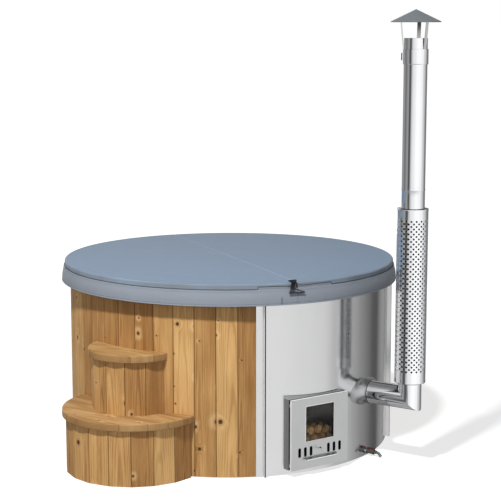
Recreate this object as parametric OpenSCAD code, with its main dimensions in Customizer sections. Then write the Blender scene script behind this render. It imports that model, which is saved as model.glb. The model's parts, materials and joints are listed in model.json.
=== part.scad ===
// Wood-fired hot tub: a moulded basin in a round timber drum, with a built-in
// stove behind a steel panel, an outside flue, a two-piece folding cover and
// a pair of round wooden steps.
//
// Frame: the origin is the drum's axis on the ground, +Z is up and -Y is the
// front. Angles are measured from the front and grow towards +X.

/* [Drum] */
// Outer diameter over the cladding boards
tub_d = 1800; // [1720:10:1900]
// Height of the basin's rim above the ground
rim_h = 985; // [960:5:1030]
// Gap between the cladding and the ground
ground_gap = 4; // [2:1:8]
// Thickness of a cladding board
board_t = 21; // [18:1:24]
// Board widths that make the full circle
boards_around = 50; // [48:1:54]
// Board widths that the steel panel takes
panel_boards = 10; // [10:1:11]
// Angle from the front to the panel's left edge
panel_start = 10; // [8:0.5:12]
// Gap between two boards
board_gap = 0.8; // [0.5:0.1:1.5]
// Bevel on the visible board edges
bevel = 3; // [1:0.5:5]
// Thickness of the steel panel
panel_t = 1.5; // [1:0.5:2]

/* [Frame] */
// Radial width of a frame hoop
hoop_w = 38; // [30:1:42]
// Height of a frame hoop
hoop_h = 45; // [35:1:55]
// Number of posts between two hoops
post_count = 8; // [6:1:10]
// Width of the ground skids
skid_w = 70; // [50:5:90]
// Height of the ground skids
skid_h = 45; // [40:1:50]
// Distance from the stove's bay, where the drain passes, to the outer skid's edge
skid_past = 9.5; // [9.5:0.5:30]
// Width of a floor joist
joist_w = 45; // [40:1:48]
// Distance between the joists' centres
joist_pitch = 280; // [270:5:290]
// Proud height of the fin on a panel trim
fin_h = 22; // [16:1:26]
// Width of a panel trim's flat strip
trim_w = 40; // [30:1:50]

/* [Basin] */
// Wall of the moulded basin
shell_t = 6; // [5:0.5:8]
// Distance from the basin's mouth to the drum's outside
rim_w = 90; // [86:1:110]
// Overhang of the turned-down lip past the cladding
lip_out = 10; // [9:0.5:13]
// Height of the turned-down lip
lip_h = 35; // [25:5:45]
// Height of the seat above the ground
seat_h = 470; // [430:10:520]
// Width of the seat
seat_w = 310; // [280:10:330]
// Height of the foot well's floor above the ground
well_h = 95; // [92:1:110]
// Slope of the basin's walls, as a change of radius
draft = 20; // [10:1:30]
// Diameter of the floor drain
sump_d = 60; // [50:1:70]

/* [Stove] */
// Angle of the stove door's face from the front
door_angle = 33.6; // [31:0.2:36]
// Sideways shift of the stove from the drum's axis
door_shift = -54; // [-60:1:-46]
// Distance of the door's face past the drum's outside
door_out = 35; // [32:1:42]
// Width of the door
door_w = 368; // [360:2:380]
// Height of the door
door_h = 377; // [370:1:390]
// Height of the door's lower edge above the ground
door_z = 36; // [34:1:44]
// Depth of the door leaf's folded edge
leaf_t = 12; // [10:1:14]
// Shadow gap between the door leaf and its surround
reveal = 12; // [12:1:14]
// Thickness of the stove's folded sheet
sheet_t = 2; // [1.5:0.5:2.5]
// Width of the window
window_w = 182; // [160:2:190]
// Height of the window
window_h = 186; // [160:2:190]
// Height of the window's lower edge in the door
window_up = 145.5; // [144:0.5:150]
// Thickness of the window glass
glass_t = 4; // [3:0.5:4.5]
// Outer width of the water jacket
jacket_w = 330; // [320:2:340]
// Wall of the water jacket
jacket_t = 30; // [24:1:32]
// Depth from the door's face to the jacket's back
stove_depth = 375; // [360:5:385]
// Height of the water jacket's top above the ground
jacket_top = 446; // [440:1:460]
// Diameter of a full fire log
log_d = 54; // [48:1:55]

/* [Stove air] */
// Width of an air slot
slot_w = 13; // [10:1:15]
// Height of an air slot
slot_h = 47; // [40:1:50]
// Distance from the door's middle to the nearest slot
slot_from = 57; // [52:1:60]
// Distance between two slots
slot_pitch = 37; // [35:1:38]
// Height of the slots' middle in the door
slot_up = 91; // [88:1:92]
// Travel of the air slide
air_travel = 16; // [16:1:18]
// Diameter of the air knob's ball
knob_d = 12; // [10:1:14]
// Distance of the knob's middle past the door's face
knob_out = 32; // [26:1:36]
// Width of the door handle at the door
handle_w = 216; // [190:2:230]
// Distance that the door handle stands out
handle_out = 28; // [24:1:34]
// Height of the door handle's root in the door
handle_up = 61; // [56:1:62]

/* [Flue] */
// Angle of the flue from the front
flue_angle = 55; // [53:0.5:57]
// Distance of the flue's axis past the drum's outside
flue_out = 268; // [255:1:290]
// Outer diameter of the flue pipe
flue_d = 125; // [120:1:130]
// Wall of the flue pipe
flue_t = 1.5; // [1:0.5:2]
// Height of the level pipe's axis above the ground
outlet_h = 366; // [360:1:370]
// Height of the joint between the pipe lengths
joint_h = 1490; // [1450:10:1520]
// Drop from the rain cap's rim to the pipe's open end
cap_gap = 84; // [70:1:100]
// Length of a pushed-in pipe end
spigot_l = 50; // [40:1:60]
// Reach of the flared collar around the pipe
flare = 50; // [40:1:54]

/* [Heat guard] */
// Outer diameter of the perforated guard
guard_d = 164; // [158:1:170]
// Wall of the guard
guard_t = 1.5; // [1:0.5:2]
// Height of the guard's lower edge
guard_z = 454; // [445:1:470]
// Length of the guard
guard_l = 925; // [900:5:950]
// Plain band at each end of the guard
guard_band = 66; // [60:1:80]
// Number of hole columns around the guard
hole_columns = 24; // [20:2:26]
// Number of holes in a column
hole_rows = 13; // [12:1:14]
// Diameter of a hole
hole_d = 15; // [12:0.5:16]

/* [Rain cap] */
// Diameter of the rain cap
cap_d = 258; // [240:2:280]
// Height of the rain cap's cone
cap_h = 62; // [50:1:75]
// Height of the rain cap's rim above the ground
cap_z = 2341; // [2335:1:2370]
// Thickness of the rain cap's sheet
cap_t = 1.2; // [1:0.1:1.6]
// Width of a cap leg
leg_w = 20; // [16:1:24]
// Thickness of a cap leg
leg_t = 1.6; // [1.2:0.1:1.8]
// Angle of the first cap leg
leg_turn = -15; // [-20:1:-10]
// Distance of a leg's top from the flue's axis
leg_reach = 80; // [76:1:88]
// Distance from the pipe's open end down to the clamp band's lower edge
band_drop = 134; // [120:1:150]
// Height of the clamp band
band_h = 78; // [70:1:80]

/* [Drain] */
// Angle of the drain from the front
drain_angle = 56; // [55:0.5:58]
// Height of the drain pipe's axis
drain_h = 26; // [24:1:28]
// Outer diameter of the drain pipe
drain_d = 26; // [22:1:28]
// Outer diameter of the hose spout
spout_d = 16; // [12:1:18]
// Length of the tap handle
tap_l = 52; // [44:1:54]

/* [Cover] */
// Angle of the cover's fold from the front
fold_angle = 21.8; // [18:0.2:24]
// Distance of the cover's edge past the drum's outside
cover_out = 30; // [28:1:40]
// Thickness of the cover at its edge
pad_t = 44; // [36:1:60]
// Radius of the cover's upper edge
pad_round = 18; // [12:1:22]
// Height of the skirt's lower edge below the rim
skirt_drop = 72; // [60:1:80]
// Overlap of the skirt on the cover's edge
skirt_lap = 9.5; // [8:0.5:14]
// Widening of the skirt towards its lower edge
skirt_flare = 12.5; // [8:0.5:16]
// Thickness of the skirt
skirt_t = 5.5; // [4:0.5:6]
// Seam between two panels of the skirt
skirt_seam = 0.6; // [0.4:0.1:1]
// Gap between the two halves of the cover
fold_gap = 1; // [0.6:0.2:2]
// Rounding of the cover's edges along the fold
fold_round = 6; // [3:1:10]
// Width of the pull strap
strap_w = 24; // [20:1:28]
// Thickness of the pull strap
strap_t = 2.5; // [2:0.5:3]

/* [Steps] */
// Angle of the steps from the front
step_angle = -36.5; // [-40:0.5:-30]
// Distance of the steps' centre inside the drum's outside
step_in = 57; // [50:1:64]
// Radius of the lower step's risers
low_r = 368; // [350:1:380]
// Radius of the upper step's risers
high_r = 228; // [220:1:236]
// Overhang of a tread past its risers
nosing = 15; // [10:1:20]
// Height of the lower tread's top
low_h = 333; // [310:1:340]
// Height of the upper tread's top
high_h = 654; // [630:1:670]
// Thickness of a tread
tread_t = 38; // [32:1:42]
// Width of a tread board
tread_w = 92; // [88:1:98]
// Thickness of the steps' inner plates
plate_t = 18; // [15:1:21]
// Rounding of a tread's edges
tread_round = 6; // [4:1:10]

/* [Hidden] */
$fn = 96;
wide_fn = 288;          // facets of the drum's own large curves
fit = 0.3;              // gap between two pieces that seat on each other
past = 1;               // how far a cut runs past the face that it opens
far = 6000;             // larger than the whole object

tub_r = tub_d / 2;
pitch = 360 / boards_around;
panel_end = panel_start + panel_boards * pitch;
panel_mid = (panel_start + panel_end) / 2;
board_face = tub_r * cos(pitch / 2);
hoop_r = board_face - board_t - fit;
deck_z = rim_h - shell_t;
board_top = deck_z - fit;
floor_z = well_h - shell_t;
joist_top = floor_z - fit;

mouth_r = tub_r - rim_w;
wall_r = mouth_r - draft;
seat_r = wall_r - seat_w;
well_r = seat_r - draft;
lip_r = tub_r + lip_out;

face_y = -(tub_r + door_out);
leaf_back = face_y + leaf_t;
frame_y = leaf_back + reveal;
frame_back = -(tub_r - 50);
door_top = door_z + door_h;
window_z = door_z + window_up;
slot_z = door_z + slot_up;
front_y = frame_y + 11;                 // face of the stove's front plate
stove_back = face_y + stove_depth;
jacket_z = door_z + 10;
chamber_w = jacket_w - 2 * jacket_t;
chamber_z = jacket_z + jacket_t;
chamber_top = door_top - 9 - jacket_t;
grate_t = 8;
grate_z = chamber_z + 61;
neck_w = door_w - 24;                   // ring behind the door leaf
neck_h = door_h - 24;
neck_back = front_y - 5;
hinge_x = -door_w / 2 + 4;
hinge_y = (leaf_back + frame_y) / 2;
hinge_up = 24;                          // hinge distance from the door's ends
ear_r = 5;
ear_t = 4;
pin_r = 3;
pin_slack = 0.05;                       // radial clearance of a turning pin
ear_w = 6.7;                            // width of an ear's root
slide_y = face_y + sheet_t + fit;
slide_t = 2;
slide_w = 2 * (slot_from + 2 * slot_pitch) + slot_w + 24;
slide_h = slot_h + 17;
knob_z = slot_z + 8;
knob_r = 3;                             // radius of the knob's shaft

// The bay for the stove is closed off from the basin by a flat bulkhead.
bay_turn = panel_mid - door_angle;
bay_gap = 12;
bulk_far = -stove_back * cos(bay_turn) + (door_shift - jacket_w / 2) * sin(bay_turn) - bay_gap;
bulk_near = bulk_far - shell_t;
bay_x = bulk_near * sin(drain_angle) / cos(drain_angle - panel_mid);
skid_pitch = bay_x + skid_past + skid_w / 2;

flue_r = flue_d / 2;
flue_rho = tub_r + flue_out;
stub_end = tub_r + 38;
elbow_top = guard_z + 66;
duct_l = 250;                           // length of the smoke box
duct_w = 130;
duct_z = outlet_h - flue_r - 4;
duct_h = flue_d + 8;
duct_y = stove_back - 40 - duct_w;
guard_r = guard_d / 2;
cap_r = cap_d / 2;
flue_top = cap_z - cap_gap;
band_z = flue_top - band_drop;
band_r = norm([flue_r + leg_t + fit, leg_w / 2]) + fit;
tap_rho = tub_r + 30;

pad_r = tub_r + cover_out;
pad_z = rim_h + fit;
pad_top = pad_z + pad_t;
fold_axis_z = pad_top + 3;
pad_draw = 4;                           // how far the pad draws in to its lower edge
skirt_top = pad_z + skirt_lap;
strap_x = -26;                          // middle of the strap, left of the fold

step_gap = 0.5;                         // between the steps and the drum
step_rho = tub_r - step_in;
low_pitch = 18.4;
low_boards = 10;
high_pitch = 27.6;
high_boards = 6;
first_board = 45;                       // width of a tread's front board

// Turns what is built at the front to another angle around the drum.
module facing(angle) rotate([0, 0, angle]) children();

// Lays an upright piece level, so that it points outwards at a height.
module outwards(height) translate([0, 0, height]) rotate([90, 0, 0]) children();

// Frame of the stove: its door faces -Y and X = 0 is the door's middle.
module at_stove() facing(door_angle) translate([door_shift, 0, 0]) children();

// Frame of the flue's upright pipe.
module at_flue() facing(flue_angle) translate([0, -flue_rho, 0]) children();

// Frame of the steps' common centre.
module at_steps() facing(step_angle) translate([0, -step_rho, 0]) children();

// Block that is centred on X and spans two depths and two heights.
module block(w, y0, y1, z0, z1) translate([-w / 2, y0, z0]) cube([w, y1 - y0, z1 - z0]);

// Upright tube between two heights.
module tube(r, t, z0, z1) difference() {
    translate([0, 0, z0]) cylinder(r = r, h = z1 - z0);
    translate([0, 0, z0 - past]) cylinder(r = r - t, h = z1 - z0 + 2 * past);
}

// Part of a ring between two angles, with a rectangular section.
module arc_band(r_out, w, z0, z1, from, to)
    rotate([0, 0, from - 90]) rotate_extrude(angle = to - from, $fn = wide_fn)
        translate([r_out - w, z0]) square([w, z1 - z0]);

// Everything further out than a distance from the axis, in one direction.
module beyond(dist, angle, z0 = -far / 2, z1 = far / 2)
    facing(angle) translate([-far / 2, -far - dist, z0]) cube([far, far, z1 - z0]);

function unit(v) = v / norm(v);
function left_of(v) = [-v.y, v.x];
function cross2(a, b) = a.x * b.y - a.y * b.x;
function turned(v, a) = [v.x * cos(a) - v.y * sin(a), v.x * sin(a) + v.y * cos(a)];

// One rounded corner of a path that is shifted sideways, positive to the left.
function corner(p0, p1, p2, r, side, steps = 6) =
    let(a = unit(p1 - p0), b = unit(p2 - p1), way = sign(cross2(a, b)),
        turn = acos(a * b), centre = p1 - a * r * tan(turn / 2) + left_of(a) * way * r)
    [for (i = [0:steps]) centre - turned(left_of(a), way * turn * i / steps) * way * (r - way * side)];

// A path with rounded corners, shifted sideways as a whole.
function rounded_path(p, radii, side) = concat(
    [p[0] + left_of(unit(p[1] - p[0])) * side],
    [for (i = [1:len(p) - 2]) each corner(p[i - 1], p[i], p[i + 1], radii[i - 1], side)],
    [p[len(p) - 1] + left_of(unit(p[len(p) - 1] - p[len(p) - 2])) * side]);

function reversed(list) = [for (i = [len(list) - 1:-1:0]) list[i]];

// Outline of a bent sheet that lies between two sideways shifts of a path.
function sheet_outline(p, radii, near, away) =
    concat(rounded_path(p, radii, near), reversed(rounded_path(p, radii, away)));

// Upright board of a round wall, with bevelled outer edges.
module stave(corner_r, turn, z0, z1) {
    y_out = -corner_r * cos(turn / 2);
    y_in = y_out + board_t;
    half = function(y) -y * tan(turn / 2) - board_gap / 2;
    translate([0, 0, z0]) linear_extrude(z1 - z0) polygon([
        [-half(y_in), y_in], [half(y_in), y_in],
        [half(y_out + bevel), y_out + bevel], [half(y_out) - bevel, y_out],
        [bevel - half(y_out), y_out], [-half(y_out + bevel), y_out + bevel]]);
}

// ---- Drum ----

module base_skids() color("saddlebrown") difference() {
    intersection() {
        for (i = [-1:1])
            translate([i * skid_pitch - skid_w / 2, -far / 2, 0]) cube([skid_w, far, skid_h - fit]);
        cylinder(r = hoop_r - hoop_w, h = skid_h, $fn = wide_fn);
    }
    beyond(bulk_near, panel_mid);
}

module base_joists() color("sienna") difference() {
    intersection() {
        for (i = [-2:2])
            translate([-far / 2, i * joist_pitch - joist_w / 2, skid_h])
                cube([far, joist_w, joist_top - skid_h]);
        cylinder(r = hoop_r - hoop_w / 2, h = joist_top, $fn = wide_fn);
    }
    beyond(bulk_near, panel_mid);
}

// The lower hoops stop at the stove's bay, and the top one runs all round.
low_hoop_z = joist_top + fit;
mid_hoop_z = (low_hoop_z + board_top) / 2;
top_hoop_z = board_top - hoop_h;
bay_from = panel_start - 2;
bay_to = panel_end + 2;

module frame_hoops() color("burlywood") {
    for (z = [low_hoop_z, mid_hoop_z])
        arc_band(hoop_r, hoop_w, z, z + hoop_h, bay_to, bay_from + 360);
    tube(hoop_r, hoop_w, top_hoop_z, board_top);
}

module frame_posts() color("burlywood")
    for (i = [0:post_count - 1]) facing(bay_to + (i + 0.5) * (360 - bay_to + bay_from) / post_count) {
        block(joist_w, -hoop_r + fit * 2, -hoop_r + hoop_w - fit, low_hoop_z + hoop_h + fit, mid_hoop_z - fit);
        block(joist_w, -hoop_r + fit * 2, -hoop_r + hoop_w - fit, mid_hoop_z + hoop_h + fit, top_hoop_z - fit);
    }

module cladding_boards() color("peru")
    for (i = [0:boards_around - panel_boards - 1])
        facing(panel_start - (i + 0.5) * pitch) stave(tub_r, pitch, ground_gap, board_top);

// ---- Basin ----

basin_path = [[0, well_h], [well_r, well_h], [seat_r, seat_h], [wall_r, seat_h],
              [mouth_r, rim_h], [lip_r, rim_h], [lip_r, rim_h - lip_h]];
basin_radii = [70, 35, 70, 20, 10];

// The basin's skin, turned all round.
module basin_skin() rotate_extrude() polygon(sheet_outline(basin_path, basin_radii, 0, -shell_t));

// The space that the skin encloses, filled up to the rim.
module basin_filled() rotate_extrude()
    polygon(concat(rounded_path([for (i = [0:4]) basin_path[i]], [for (i = [0:2]) basin_radii[i]],
                                -shell_t / 2), [[0, rim_h]]));

sump_rho = well_r - 130;

module tub_shell() color("gainsboro") difference() {
    union() {
        difference() {
            basin_skin();
            intersection() {
                beyond(bulk_near + shell_t / 2, panel_mid, 0, deck_z);
                cylinder(r = mouth_r + 40, h = deck_z);
            }
        }
        intersection() {
            basin_filled();
            beyond(bulk_near, panel_mid);
            facing(panel_mid) translate([-far / 2, -bulk_far, 0]) cube([far, far / 2, rim_h]);
        }
        intersection() {
            translate([0, 0, deck_z]) cylinder(r = mouth_r + 40, h = shell_t);
            beyond(bulk_near, panel_mid);
        }
    }
    facing(drain_angle) translate([0, -sump_rho, 0]) cylinder(d = sump_d, h = well_h + past);
    for (z = port_heights) at_port(z) translate([0, 0, bulk_near - past])
        cylinder(r = port_r + fit, h = shell_t + 2 * past);
}

module floor_drain_grate() color("silver") facing(drain_angle) translate([0, -sump_rho, 0]) difference() {
    union() {
        translate([0, 0, well_h + fit]) cylinder(d = sump_d + 24, h = 3);
        translate([0, 0, floor_z]) cylinder(d = sump_d - 2 * fit, h = shell_t + fit + past);
    }
    translate([0, 0, floor_z - past]) cylinder(d = sump_d - 10, h = shell_t);
    for (i = [-3:3]) translate([0, i * 7, 0])
        block(sqrt(pow(sump_d / 2 - 6, 2) - pow(i * 7, 2)) * 2, -2, 2, floor_z, rim_h);
}

// ---- Steel panel ----

module steel_panel() color("lightgray") difference() {
    arc_band(tub_r, panel_t, ground_gap, board_top, panel_start + 0.1, panel_end - 0.1);
    at_stove() block(door_w + 2 * fit, face_y, frame_back, door_z - fit, door_top + fit);
    facing(flue_angle) outwards(outlet_h) cylinder(r = flue_r + 4, h = tub_d);
    facing(drain_angle) outwards(drain_h) cylinder(r = drain_d / 2 + fit, h = tub_d);
}

// Section of a trim that covers a joint: a flat strip with a fin on its panel side.
module trim_section(way) {
    strip_y = -tub_r - 1.5 - fit;
    polygon([for (p = [[-trim_w / 2, 0], [trim_w / 2, 0], [trim_w / 2, -fin_h], [trim_w / 2 + 7, -fin_h],
        [trim_w / 2 + 7, -fin_h + 1.5], [trim_w / 2 + 1.5, -fin_h + 1.5], [trim_w / 2 + 1.5, 1.5],
        [-trim_w / 2, 1.5]]) [way * p.x, strip_y + p.y]]);
}

module panel_trims() color("whitesmoke") {
    facing(panel_start) translate([0, 0, ground_gap]) linear_extrude(trim_top - ground_gap) trim_section(1);
    facing(panel_end) translate([0, 0, ground_gap]) linear_extrude(trim_top - ground_gap) trim_section(-1);
}
trim_top = rim_h - lip_h - fit;

rail_h = 24;
post_turn = asin((joist_w / 2 + 6) / tub_r);

// Rails and posts that hold the panel off the frame.
module panel_rails() color("tan") {
    rail_out = tub_r - panel_t - fit;
    for (a = [panel_start + post_turn, panel_end - post_turn])
        facing(a) intersection() {
            block(joist_w, -tub_r, -hoop_r - fit, 0, board_top);
            cylinder(r = rail_out, h = board_top, $fn = wide_fn);
        }
    from = panel_start + 2 * post_turn;
    to = panel_end - 2 * post_turn;
    arc_band(rail_out, rail_out - hoop_r - fit, top_hoop_z, board_top, from, to);
    difference() {
        arc_band(rail_out, rail_out - hoop_r - fit, ground_gap, ground_gap + rail_h, from, to);
        facing(drain_angle) outwards(drain_h) cylinder(r = drain_d / 2 + fit, h = tub_d);
    }
}

// ---- Stove ----

module stove_surround() color("gray") at_stove() difference() {
    block(door_w, frame_y, frame_back, door_z, door_top);
    block(door_w - 2 * sheet_t, frame_y - past, frame_back + past, door_z + sheet_t, door_top - sheet_t);
}

module firebox() color("dimgray") at_stove() {
    difference() {
        union() {
            block(door_w - 2 * (sheet_t + fit), front_y, front_y + 3,
                  door_z + sheet_t + fit, door_top - sheet_t - fit);
            block(jacket_w, front_y + 2, frame_back + 5, jacket_z, door_top - 9);
            block(jacket_w, frame_back + 4, stove_back, jacket_z, jacket_top);
        }
        block(chamber_w, front_y - past, stove_back - jacket_t, chamber_z, chamber_top);
        translate([jacket_w / 4, duct_y + 15, outlet_h - flue_r + 8])
            cube([jacket_w, duct_w - 30, chamber_top - outlet_h + flue_r - 8]);
    }
    for (s = [-1, 1]) translate([s * (chamber_w / 2 - 5), 0, 0])
        block(10 + 2 * past, front_y + 12, stove_back - jacket_t - 2,
              grate_z - grate_t - 9, grate_z - grate_t - fit);
}

module firebox_stand() color("black") at_stove()
    for (s = [-1, 1]) translate([s * jacket_w / 3, 0, 0]) {
        block(40, frame_back + 10, stove_back - 10, 0, 5);
        block(5, frame_back + 10, stove_back - 10, 4, jacket_z - fit);
    }

ash_h = 42;                             // height of the ash tray
grate_w = chamber_w - 2;
grate_l = stove_back - jacket_t - front_y - 16;

module fire_grate() color("darkslategray") at_stove() difference() {
    block(grate_w, front_y + 13, front_y + 13 + grate_l, grate_z - grate_t, grate_z);
    for (i = [0:12]) translate([(i - 6) * 19, 0, 0])
        block(9, front_y + 35, front_y + grate_l - 10, grate_z - grate_t - past, grate_z + past);
}

module ash_tray() color("gray") at_stove() difference() {
    block(chamber_w - 30, front_y + 14, front_y + 14 + grate_l, chamber_z + fit, chamber_z + ash_h);
    block(chamber_w - 34, front_y + 16, front_y + 12 + grate_l, chamber_z + fit + 2, chamber_z + ash_h + past);
}

// Two rows of logs: each has its place across the chamber and its recess.
log_step = log_d + 2;
log_rise = sqrt(pow(log_d + fit, 2) - pow(log_step / 2, 2));
lower_logs = [[-1.7, 42], [-0.7, 30], [0.3, 46], [1.3, 34]];
upper_logs = [[-0.2, 38], [0.8, 50]];

module log_at(place, recess, height) translate([place * log_step, front_y + recess, 0])
    outwards(height) translate([0, 0, -230]) cylinder(d = log_d, h = 230);

module firewood() color("burlywood") at_stove() {
    first = grate_z + fit + log_d / 2;
    for (l = lower_logs) log_at(l[0], l[1], first);
    for (l = upper_logs) log_at(l[0], l[1], first + log_rise);
}

module smoke_box() color("dimgray") difference() {
    at_stove() difference() {
        translate([jacket_w / 2 + fit, duct_y, duct_z]) cube([duct_l, duct_w, duct_h]);
        translate([jacket_w / 2 + fit - past, duct_y + sheet_t, duct_z + sheet_t])
            cube([duct_l + past - sheet_t, duct_w - 2 * sheet_t, duct_h - 2 * sheet_t]);
    }
    facing(flue_angle) outwards(outlet_h) translate([0, 0, stub_end / 2])
        cylinder(r = flue_r - flue_t, h = stub_end / 2);
}

// Water runs between the jacket and the basin through two ports.
port_r = 25;
port_heights = [jacket_z + 90, jacket_top - 80];
port_x = stove_back * sin(bay_turn) + door_shift * cos(bay_turn);

module at_port(height) facing(panel_mid) translate([port_x, 0, 0]) outwards(height) children();

module circulation_pipes() color("gray") difference() {
    for (z = port_heights) at_port(z) difference() {
        translate([0, 0, bulk_near]) cylinder(r = port_r, h = tub_r / 2);
        translate([0, 0, bulk_near - past]) cylinder(r = port_r - 2, h = tub_r);
    }
    at_stove() block(jacket_w, -far / 2, stove_back + fit, 0, rim_h);
}

module circulation_grilles() color("gainsboro") for (z = port_heights) at_port(z)
    translate([0, 0, bulk_near - fit]) mirror([0, 0, 1]) difference() {
        union() {
            cylinder(r = port_r + 25, h = 3);
            cylinder(r1 = port_r + 15, r2 = port_r + 5, h = 12);
        }
        translate([0, 0, -past]) cylinder(r = port_r, h = 9 + past);
        for (i = [-3:3]) translate([i * 7 - 2, -port_r / 2, 0]) cube([4, port_r, 20]);
    }

// ---- Flue ----

// Level tube with a flared collar that is cut to the drum's round face.
module flue_stub() color("silver") {
    flare_y = stub_end - tub_r + 8;
    difference() {
        union() {
            facing(flue_angle) outwards(outlet_h) translate([0, 0, tub_r / 2])
                cylinder(r = flue_r, h = stub_end - fit - tub_r / 2);
            difference() {
                facing(flue_angle) outwards(outlet_h) rotate_extrude() polygon(concat(
                    [for (a = [0:15:90]) [flue_r + flare * (1 - cos(a)), stub_end - 1 - flare_y * sin(a)]],
                    [for (a = [90:-15:0])
                        [flue_r + flare - (flare + 2) * cos(a), stub_end - 1 - (flare_y + 2) * sin(a)]]));
                cylinder(r = tub_r + fit, h = rim_h, $fn = wide_fn);
            }
        }
        facing(flue_angle) outwards(outlet_h) cylinder(r = flue_r - flue_t, h = tub_d);
        at_stove() translate([-far / 2, duct_y - fit, 0]) cube([far, far / 2, rim_h]);
    }
}

// Everything on one side of the plane on which the elbow's two pipes meet:
// -1 keeps the level pipe's side and 1 the upright pipe's.
module mitre_side(way) translate([0, -flue_rho, outlet_h]) rotate([45, 0, 0])
    translate([-far / 2, -far / 2, way > 0 ? 0 : -far]) cube([far, far, far]);

// A level pipe and an upright pipe of one radius that meet on the mitre.
module mitred(r, start, top) facing(flue_angle) {
    intersection() {
        outwards(outlet_h) translate([0, 0, start]) cylinder(r = r, h = flue_rho + 2 * flue_r - start);
        mitre_side(-1);
    }
    intersection() {
        translate([0, -flue_rho, outlet_h - 2 * flue_r]) cylinder(r = r, h = top - outlet_h + 2 * flue_r);
        mitre_side(1);
    }
}

module flue_elbow() color("silver") difference() {
    union() {
        mitred(flue_r, stub_end, elbow_top);
        facing(flue_angle) outwards(outlet_h) translate([0, 0, stub_end]) cylinder(r = flue_r + 1.5, h = 5);
    }
    mitred(flue_r - flue_t, stub_end - past, elbow_top + past);
}

// Pipe length with a narrower end that is pushed into the length below it, and
// a bead of a chosen height near its upper end.
module pipe_length(z0, z1, bead) {
    spigot_r = flue_r - flue_t - fit;
    rotate_extrude() polygon([
        [spigot_r - flue_t, z0 - spigot_l], [spigot_r, z0 - spigot_l], [spigot_r, z0 + fit], [flue_r, z0 + fit],
        [flue_r, z1 - 16], [flue_r + bead, z1 - 12], [flue_r + bead, z1 - 10], [flue_r, z1 - 6],
        [flue_r, z1], [flue_r - flue_t, z1], [flue_r - flue_t, z0 + fit + 5], [spigot_r - flue_t, z0 + fit + 2]]);
}

module flue_pipe_lower() color("silver") at_flue() pipe_length(elbow_top, joint_h, 1.5);
module flue_pipe_upper() color("silver") at_flue() pipe_length(joint_h, flue_top, 0.5);

module cap_clamp_band() color("silver") at_flue() {
    difference() {
        union() {
            translate([0, 0, band_z]) cylinder(r1 = band_r, r2 = band_r + 1.5, h = 6);
            translate([0, 0, band_z + 6]) cylinder(r = band_r + 1.5, h = band_h - 6);
            facing(180) for (s = [-1, 1]) translate([s * 5, 0, 0])
                block(2, -band_r - 14, -band_r + 1, band_z + 20, band_z + band_h - 20);
        }
        translate([0, 0, band_z - past]) cylinder(r = band_r, h = band_h + 2 * past);
        facing(180) block(6, -band_r - 20, -band_r + 4, band_z - past, band_z + band_h + past);
    }
    facing(180) translate([-9, -band_r - 8, band_z + band_h / 2]) rotate([0, 90, 0]) cylinder(r = 2.5, h = 18);
}

cap_slope = cap_h / cap_r;
function under_cap(r) = cap_z + cap_h - cap_slope * norm([r, leg_w / 2]) - cap_t / cos(atan(cap_slope)) - fit;

module cap_legs() color("silver") at_flue() for (i = [0:2]) facing(leg_turn + i * 120) {
    near = flue_r + fit;
    knee = band_z + band_h;
    translate([leg_w / 2, 0, 0]) rotate([90, 0, -90]) linear_extrude(leg_w) polygon([
        [near, band_z + 8], [near + leg_t, band_z + 8], [near + leg_t, knee],
        [leg_reach + leg_t, under_cap(leg_reach + leg_t)], [leg_reach, under_cap(leg_reach)], [near, knee]]);
}

module rain_cap() color("slategray") at_flue() rotate_extrude() polygon([
    [0, cap_z + cap_h], [cap_r, cap_z], [cap_r, cap_z - 4], [cap_r - cap_t, cap_z - 4],
    [cap_r - cap_t, cap_z - cap_t], [0, cap_z + cap_h - cap_t / cos(atan(cap_slope))]]);

// ---- Heat guard ----

// One flat strip of the guard, with every second column moved half a pitch.
// Neighbouring strips run into each other at their edges and form a ring.
module guard_strip(odd) {
    strip_w = 2 * guard_r * sin(180 / hole_columns) + 0.4;
    hole_pitch = (guard_l - 2 * guard_band) / hole_rows;
    translate([0, guard_t - guard_r * cos(180 / hole_columns), guard_z]) rotate([90, 0, 0])
        linear_extrude(guard_t) difference() {
            translate([-strip_w / 2, -past]) square([strip_w, guard_l + 2 * past]);
            for (i = [0:hole_rows - 1 - odd])
                translate([0, guard_band + (i + 0.5 + odd / 2) * hole_pitch]) circle(d = hole_d, $fn = 24);
        }
}

module heat_guard() color("silver") at_flue() intersection() {
    union() for (i = [0:hole_columns - 1]) facing(i * 360 / hole_columns) guard_strip(i % 2);
    translate([0, 0, guard_z]) cylinder(r = guard_r + 5, h = guard_l);
}

spacer_heights = [guard_z + 30, guard_z + guard_l - 30];

module guard_spacers() color("gray") at_flue() for (z = spacer_heights, i = [0:2])
    facing(i * 120) outwards(z) translate([0, 0, flue_r + fit])
        cylinder(r = 4, h = guard_r * cos(180 / hole_columns) - guard_t - flue_r - 2 * fit);

// ---- Drain ----

module drain_pipe() color("gray") facing(drain_angle) difference() {
    union() {
        outwards(drain_h) translate([0, 0, sump_rho]) cylinder(d = drain_d, h = tub_r + 4 - sump_rho);
        translate([0, -sump_rho, drain_h]) cylinder(d = drain_d, h = floor_z - drain_h - fit);
        translate([0, -sump_rho, drain_h]) sphere(d = drain_d);
    }
    outwards(drain_h) translate([0, 0, sump_rho]) cylinder(d = drain_d - 6, h = tub_r);
    translate([0, -sump_rho, drain_h]) cylinder(d = drain_d - 6, h = floor_z);
}

tap_z = drain_h + drain_d / 2 + 3;
stem_r = 3.5;

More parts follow.
